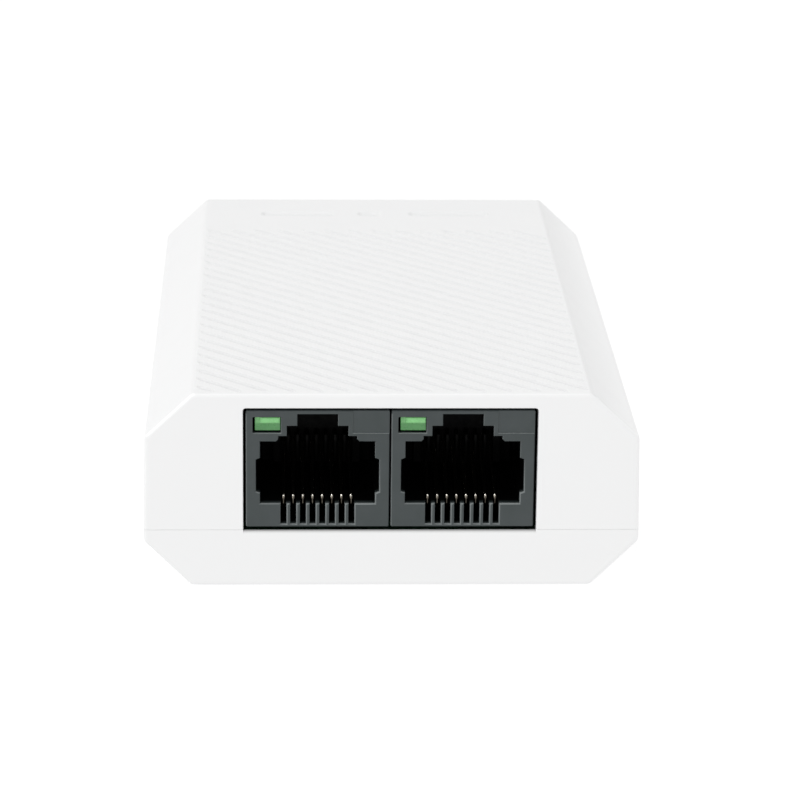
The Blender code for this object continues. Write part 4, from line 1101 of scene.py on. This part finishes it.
def wire_path():
    """Centre line of a contact as (y, z, scale), from the insert to the tip of its arm."""
    low = BEND_Z - BEND_RADIUS
    path = [(CARRIER_FRONT + 0.15 * MM, low, 1.0)]
    for y in (12.0, 9.0, 6.0, 4.0, 2.9):
        path.append((y * MM, low, 1.0))
    stop = -270.0 + math.degrees(ARM_SLOPE)
    for y, z in arc(BEND_Y, BEND_Z, BEND_RADIUS, -90.0, stop, 14):
        path.append((y, z, 1.0))
    slope = Vector((math.cos(ARM_SLOPE), math.sin(ARM_SLOPE)))
    foot = Vector((BEND_Y, BEND_Z)) + Vector((-slope.y, slope.x)) * BEND_RADIUS
    stations = [(share, 1.0) for share in (0.08, 0.2, 0.35, 0.5, 0.65, 0.8, 0.92, 0.975)]
    for share, scale in stations + [(0.99, 0.85), (1.0, 0.5)]:
        at = foot + slope * (ARM_LENGTH * share)
        path.append((at.x, at.y, scale))
    return path


def build_wires(name):
    across, thick = WIRE_WIDTH / 2, WIRE_THICKNESS / 2
    section = filleted(rectangle(-across, -thick, across, thick), 0.13 * MM, 3)
    origin = jack_origin(name)
    for number, x in enumerate(contact_places(), 1):
        wire = sweep(f"{name}_wire_{number}", wire_path(), section)
        moved(wire, origin + Vector((x, 0.0, 0.0)))
        node = f"{name}_contact_{number}"
        finish(wire, CONTACT_GOLD, node, body=None, smooth=50.0, slot="gold_contact")
        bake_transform(wire)


def build_led(name):
    """A rectangular lamp whose lens stands off one corner of its window, its upper half bulging."""
    left, right = LED_LEFT + 0.22 * MM, LED_RIGHT - 0.04 * MM
    low, high = LED_LOW + 0.22 * MM, LED_HIGH - 0.03 * MM
    split = low + 0.52 * (high - low)
    lens = soft_box(
        (left, 0.26 * MM, low), (right, 5.45 * MM, high), 0.1 * MM, 0.08 * MM, "Y",
        f"{name}_lamp_lens",
    )
    bulge = []
    dome = ((0.36, 0.1), (0.2, 0.11), (0.1, 0.14), (0.04, 0.19), (0.01, 0.27), (0.01, 0.5))
    for shrink, y in dome:
        ring = inset(rectangle(left + 0.5 * MM, split, right, high), shrink * MM)
        bulge.append(level(filleted(ring, 0.1 * MM, 4), "Y", y * MM))
    join(lens, loft("tool", bulge))
    moved(lens, jack_origin(name))
    finish(lens, LENS_GREEN[name], f"{name}_led", slot="green_lens")
    middle = (LED_LOW + LED_HIGH) / 2
    back = JACK_DEPTH + 0.8 * MM
    bend = 0.4 * MM
    path = [(5.3 * MM, middle, 1.0), (12.0 * MM, middle, 1.0)]
    for y, z in arc(back - bend, middle - bend, bend, 90.0, 0.0, 5):
        path.append((y, z, 1.0))
    path += [(back, 3.0 * MM, 1.0), (back, PIN_END + 0.15 * MM, 1.0), (back, PIN_END, 0.5)]
    half = LED_LEAD_WIDTH / 2
    section = filleted(rectangle(-half, -half, half, half), 0.05 * MM, 1)
    leads = [moved(sweep("lead", path, section), Vector((x, 0.0, 0.0))) for x in LED_LEADS_X]
    piece = moved(merge(f"{name}_lamp_leads", *leads), jack_origin(name))
    finish(piece, TINNED, slot="tinned_metal")


# ---- power inlet


def build_inlet():
    low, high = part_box("dc_jack_housing")
    collar_end = INLET_MOUTH - INLET_COLLAR
    body = soft_box(
        (low.x, collar_end, low.z), (high.x, INLET_MOUTH, high.z),
        0.5 * MM, 0.25 * MM, "Y", "inlet_body", 4,
    )
    block_top = (INLET_HALF_WIDTH, collar_end + 0.4 * MM, low.z + INLET_HEIGHT)
    block = soft_box((-INLET_HALF_WIDTH, low.y, low.z), block_top, 0.4 * MM, 0.25 * MM, "Y")
    join(body, block)
    bore = mouth_cutter(
        circle(INLET_X, INLET_Z, INLET_BORE_RADIUS), "Y", INLET_MOUTH,
        INLET_MOUTH - INLET_BORE_DEPTH, 0.35 * MM, 4,
    )
    pin_way = prism(
        circle(INLET_X, INLET_Z, INLET_PIN_RADIUS + 0.12 * MM, 24), "Y",
        low.y - CUT_PAST, INLET_MOUTH - INLET_BORE_DEPTH + CUT_PAST,
    )
    leaf_way = box(
        (-1.3 * MM, INLET_MOUTH - INLET_BORE_DEPTH, BOARD_TOP - CUT_PAST),
        (1.3 * MM, collar_end + 0.2 * MM, INLET_Z - INLET_PIN_RADIUS),
    )
    cut(body, bore, pin_way, leaf_way)
    finish(body, MOULDED_BLACK, "dc_jack_housing", slot="black_part")
    build_inlet_pin()


def build_inlet_pin():
    low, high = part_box("dc_centre_pin")
    back, tip = low.y, high.y
    radius = INLET_PIN_RADIUS
    profile = [(0.0, back), (radius, back), (radius, tip - PIN_ROUND)]
    profile += arc(radius - PIN_ROUND, tip - PIN_ROUND, PIN_ROUND, 0, 90)[1:]
    profile += [(0.0, tip)]
    pin = lathe(profile, "inlet_pin", 40)
    pin.data.transform(Matrix.Rotation(-math.pi / 2, 4, "X"))
    moved(pin, Vector((INLET_X, 0.0, INLET_Z)))
    half, length = PIN_SLOT
    reach = 2 * radius
    slit = box((-half, tip - length, INLET_Z - reach), (half, tip + CUT_PAST, INLET_Z + reach))
    cut(pin, slit)
    tail_low = (min(low.x, -radius), back, low.z)
    tail_high = (max(high.x, radius), back + 0.3 * MM, high.z)
    join(pin, soft_box(tail_low, tail_high, 0.12 * MM, 0.06 * MM, "Y"))
    finish(pin, TINNED, "dc_centre_pin", slot="tinned_metal")


# ---- pieces kept from the frame


KEPT = (
    (BOARD_MASK, 0.0, "circuit_board"),
    (TINNED, 0.04, "dc_spring_contact", "dc_spring_tail", "dc_switch_terminal"),
    (MOULDED_BLACK, 0.05, "lan_transformer", "poe_transformer", "power_controller"),
    (MOULDED_BLACK, 0.04, "switch_transistor", "surge_diode"),
    (MOULDED_BLACK, 0.03, "sense_resistor"),
    (MOULDED_BLACK, 0.08, "choke_base"),
    (FERRITE, 0.08, "power_inductor"),
    (FERRITE, 0.0, "choke_core"),
    (FUSE_CERAMIC, 0.04, "fuse"),
    (SLEEVE_BLUE, 0.0, "input_capacitor", "output_capacitor"),
    (COPPER, 0.0, "choke_winding_1", "choke_winding_2"),
)


def dress_kept_nodes():
    """Gives each node that stays as the frame has it a material and, if any, softer edges."""
    for material, edge, name in [(m, e, name) for m, e, *names in KEPT for name in names]:
        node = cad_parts[name]
        if not node.data.materials:
            node.data.materials.append(material)
        for slot in node.material_slots:
            slot.material = material
        if edge:
            bevel = node.modifiers.new("soft_edges", "BEVEL")
            bevel.width = edge * MM
            bevel.segments = 2
            bevel.limit_method = "ANGLE"
            bevel.angle_limit = math.radians(50.0)


# ---- floor, light and camera


def build_floor():
    """A pale sweep. Seen from below it lets the view through, so the underside can be seen."""
    far = 3.0
    mesh = bpy.data.meshes.new("studio_floor")
    mesh.from_pydata(
        [(-far, -far, 0.0), (far, -far, 0.0), (far, far, 0.0), (-far, far, 0.0)], [], [(0, 1, 2, 3)]
    )
    floor = bpy.data.objects.new("studio_floor", mesh)
    bpy.context.scene.collection.objects.link(floor)
    material = bpy.data.materials.new("studio_floor")
    material.use_nodes = True
    tree = material.node_tree
    tree.nodes.clear()
    new, link = tree.nodes.new, tree.links.new
    diffuse = new("ShaderNodeBsdfDiffuse")
    diffuse.inputs["Color"].default_value = (FLOOR_SHADE, FLOOR_SHADE, FLOOR_SHADE, 1.0)
    lift, glow = new("ShaderNodeEmission"), new("ShaderNodeEmission")
    lift.inputs["Strength"].default_value = FLOOR_LIFT
    glow.inputs["Strength"].default_value = FLOOR_GLOW
    bright = new("ShaderNodeAddShader")
    link(diffuse.outputs["BSDF"], bright.inputs[0])
    link(lift.outputs["Emission"], bright.inputs[1])
    seen, sided = new("ShaderNodeMixShader"), new("ShaderNodeMixShader")
    link(new("ShaderNodeLightPath").outputs["Is Camera Ray"], seen.inputs["Fac"])
    link(glow.outputs["Emission"], seen.inputs[1])
    link(bright.outputs["Shader"], seen.inputs[2])
    link(new("ShaderNodeNewGeometry").outputs["Backfacing"], sided.inputs["Fac"])
    link(seen.outputs["Shader"], sided.inputs[1])
    link(new("ShaderNodeBsdfTransparent").outputs["BSDF"], sided.inputs[2])
    link(sided.outputs["Shader"], new("ShaderNodeOutputMaterial").inputs["Surface"])
    mesh.materials.append(material)


def build_world():
    """A white room that is brighter on one side, behind and low down than overhead."""
    world = bpy.data.worlds.new("studio")
    world.use_nodes = True
    tree = world.node_tree
    place = tree.nodes.new("ShaderNodeTexCoord")
    parts = tree.nodes.new("ShaderNodeSeparateXYZ")
    tree.links.new(place.outputs["Generated"], parts.inputs["Vector"])
    level_so_far = None
    for axis, slope in (("X", -SKY_LEFT), ("Y", SKY_REAR), ("Z", -SKY_LOW)):
        step = tree.nodes.new("ShaderNodeMath")
        step.operation = "MULTIPLY_ADD"
        step.inputs[1].default_value = slope
        step.inputs[2].default_value = SKY_LEVEL
        tree.links.new(parts.outputs[axis], step.inputs[0])
        if level_so_far:
            tree.links.new(level_so_far, step.inputs[2])
        level_so_far = step.outputs["Value"]
    background = tree.nodes["Background"]
    background.inputs["Color"].default_value = (1.0, 1.0, 1.0, 1.0)
    tree.links.new(level_so_far, background.inputs["Strength"])
    bpy.context.scene.world = world


def area_light(name, at, towards, size, power):
    light = bpy.data.lights.new(name, "AREA")
    light.shape = "RECTANGLE"
    light.size, light.size_y = size
    light.energy = power
    lamp = bpy.data.objects.new(name, light)
    bpy.context.scene.collection.objects.link(lamp)
    lamp.location = at
    lamp.rotation_mode = "QUATERNION"
    lamp.rotation_quaternion = (Vector(towards) - Vector(at)).to_track_quat("-Z", "Y")


def build_lights():
    middle, front = (0.0, 0.0, 0.01), (0.0, -0.04, 0.01)
    area_light("key_front_left", KEY_AT, middle, (0.22, 0.22), KEY_POWER)
    area_light("spark_high", SPARK_AT, front, (0.15, 0.15), SPARK_POWER)
    area_light("edge_left", EDGE_AT, front, (0.13, 0.13), EDGE_POWER)
    area_light("soft_left", (-1.0, 0.0, 0.35), middle, (0.6, 0.8), SOFT_LEFT_POWER)
    area_light("soft_right", (1.0, 0.0, 0.35), middle, (0.6, 0.8), SOFT_RIGHT_POWER)


def build_camera():
    data = bpy.data.cameras.new("camera")
    data.lens = CAMERA_LENS
    data.sensor_width = CAMERA_SENSOR
    data.clip_start = 10 * MM
    data.dof.use_dof = True
    data.dof.focus_distance = (Vector((0.0, FRONT, SEAM)) - CAMERA_AT).dot(CAMERA_FORWARD)
    data.dof.aperture_fstop = CAMERA_STOP
    camera = bpy.data.objects.new("camera", data)
    bpy.context.scene.collection.objects.link(camera)
    camera.location = CAMERA_AT
    right = CAMERA_FORWARD.cross(CAMERA_UP).normalized()
    up = right.cross(CAMERA_FORWARD).normalized()
    turned = Matrix((right, up, -CAMERA_FORWARD.normalized())).transposed()
    camera.rotation_mode = "QUATERNION"
    camera.rotation_quaternion = turned.to_quaternion()
    bpy.context.scene.camera = camera


def main():
    build_top_shell()
    build_bottom_shell()
    build_screws()
    build_feet()
    build_label()
    for name in JACKS:
        build_socket_body(name)
        build_contact_block(name)
        build_contact_tails(name)
        build_wires(name)
        build_led(name)
    build_inlet()
    dress_kept_nodes()
    build_floor()
    build_world()
    build_lights()
    build_camera()
    bpy.context.scene.view_settings.view_transform = "Standard"


main()
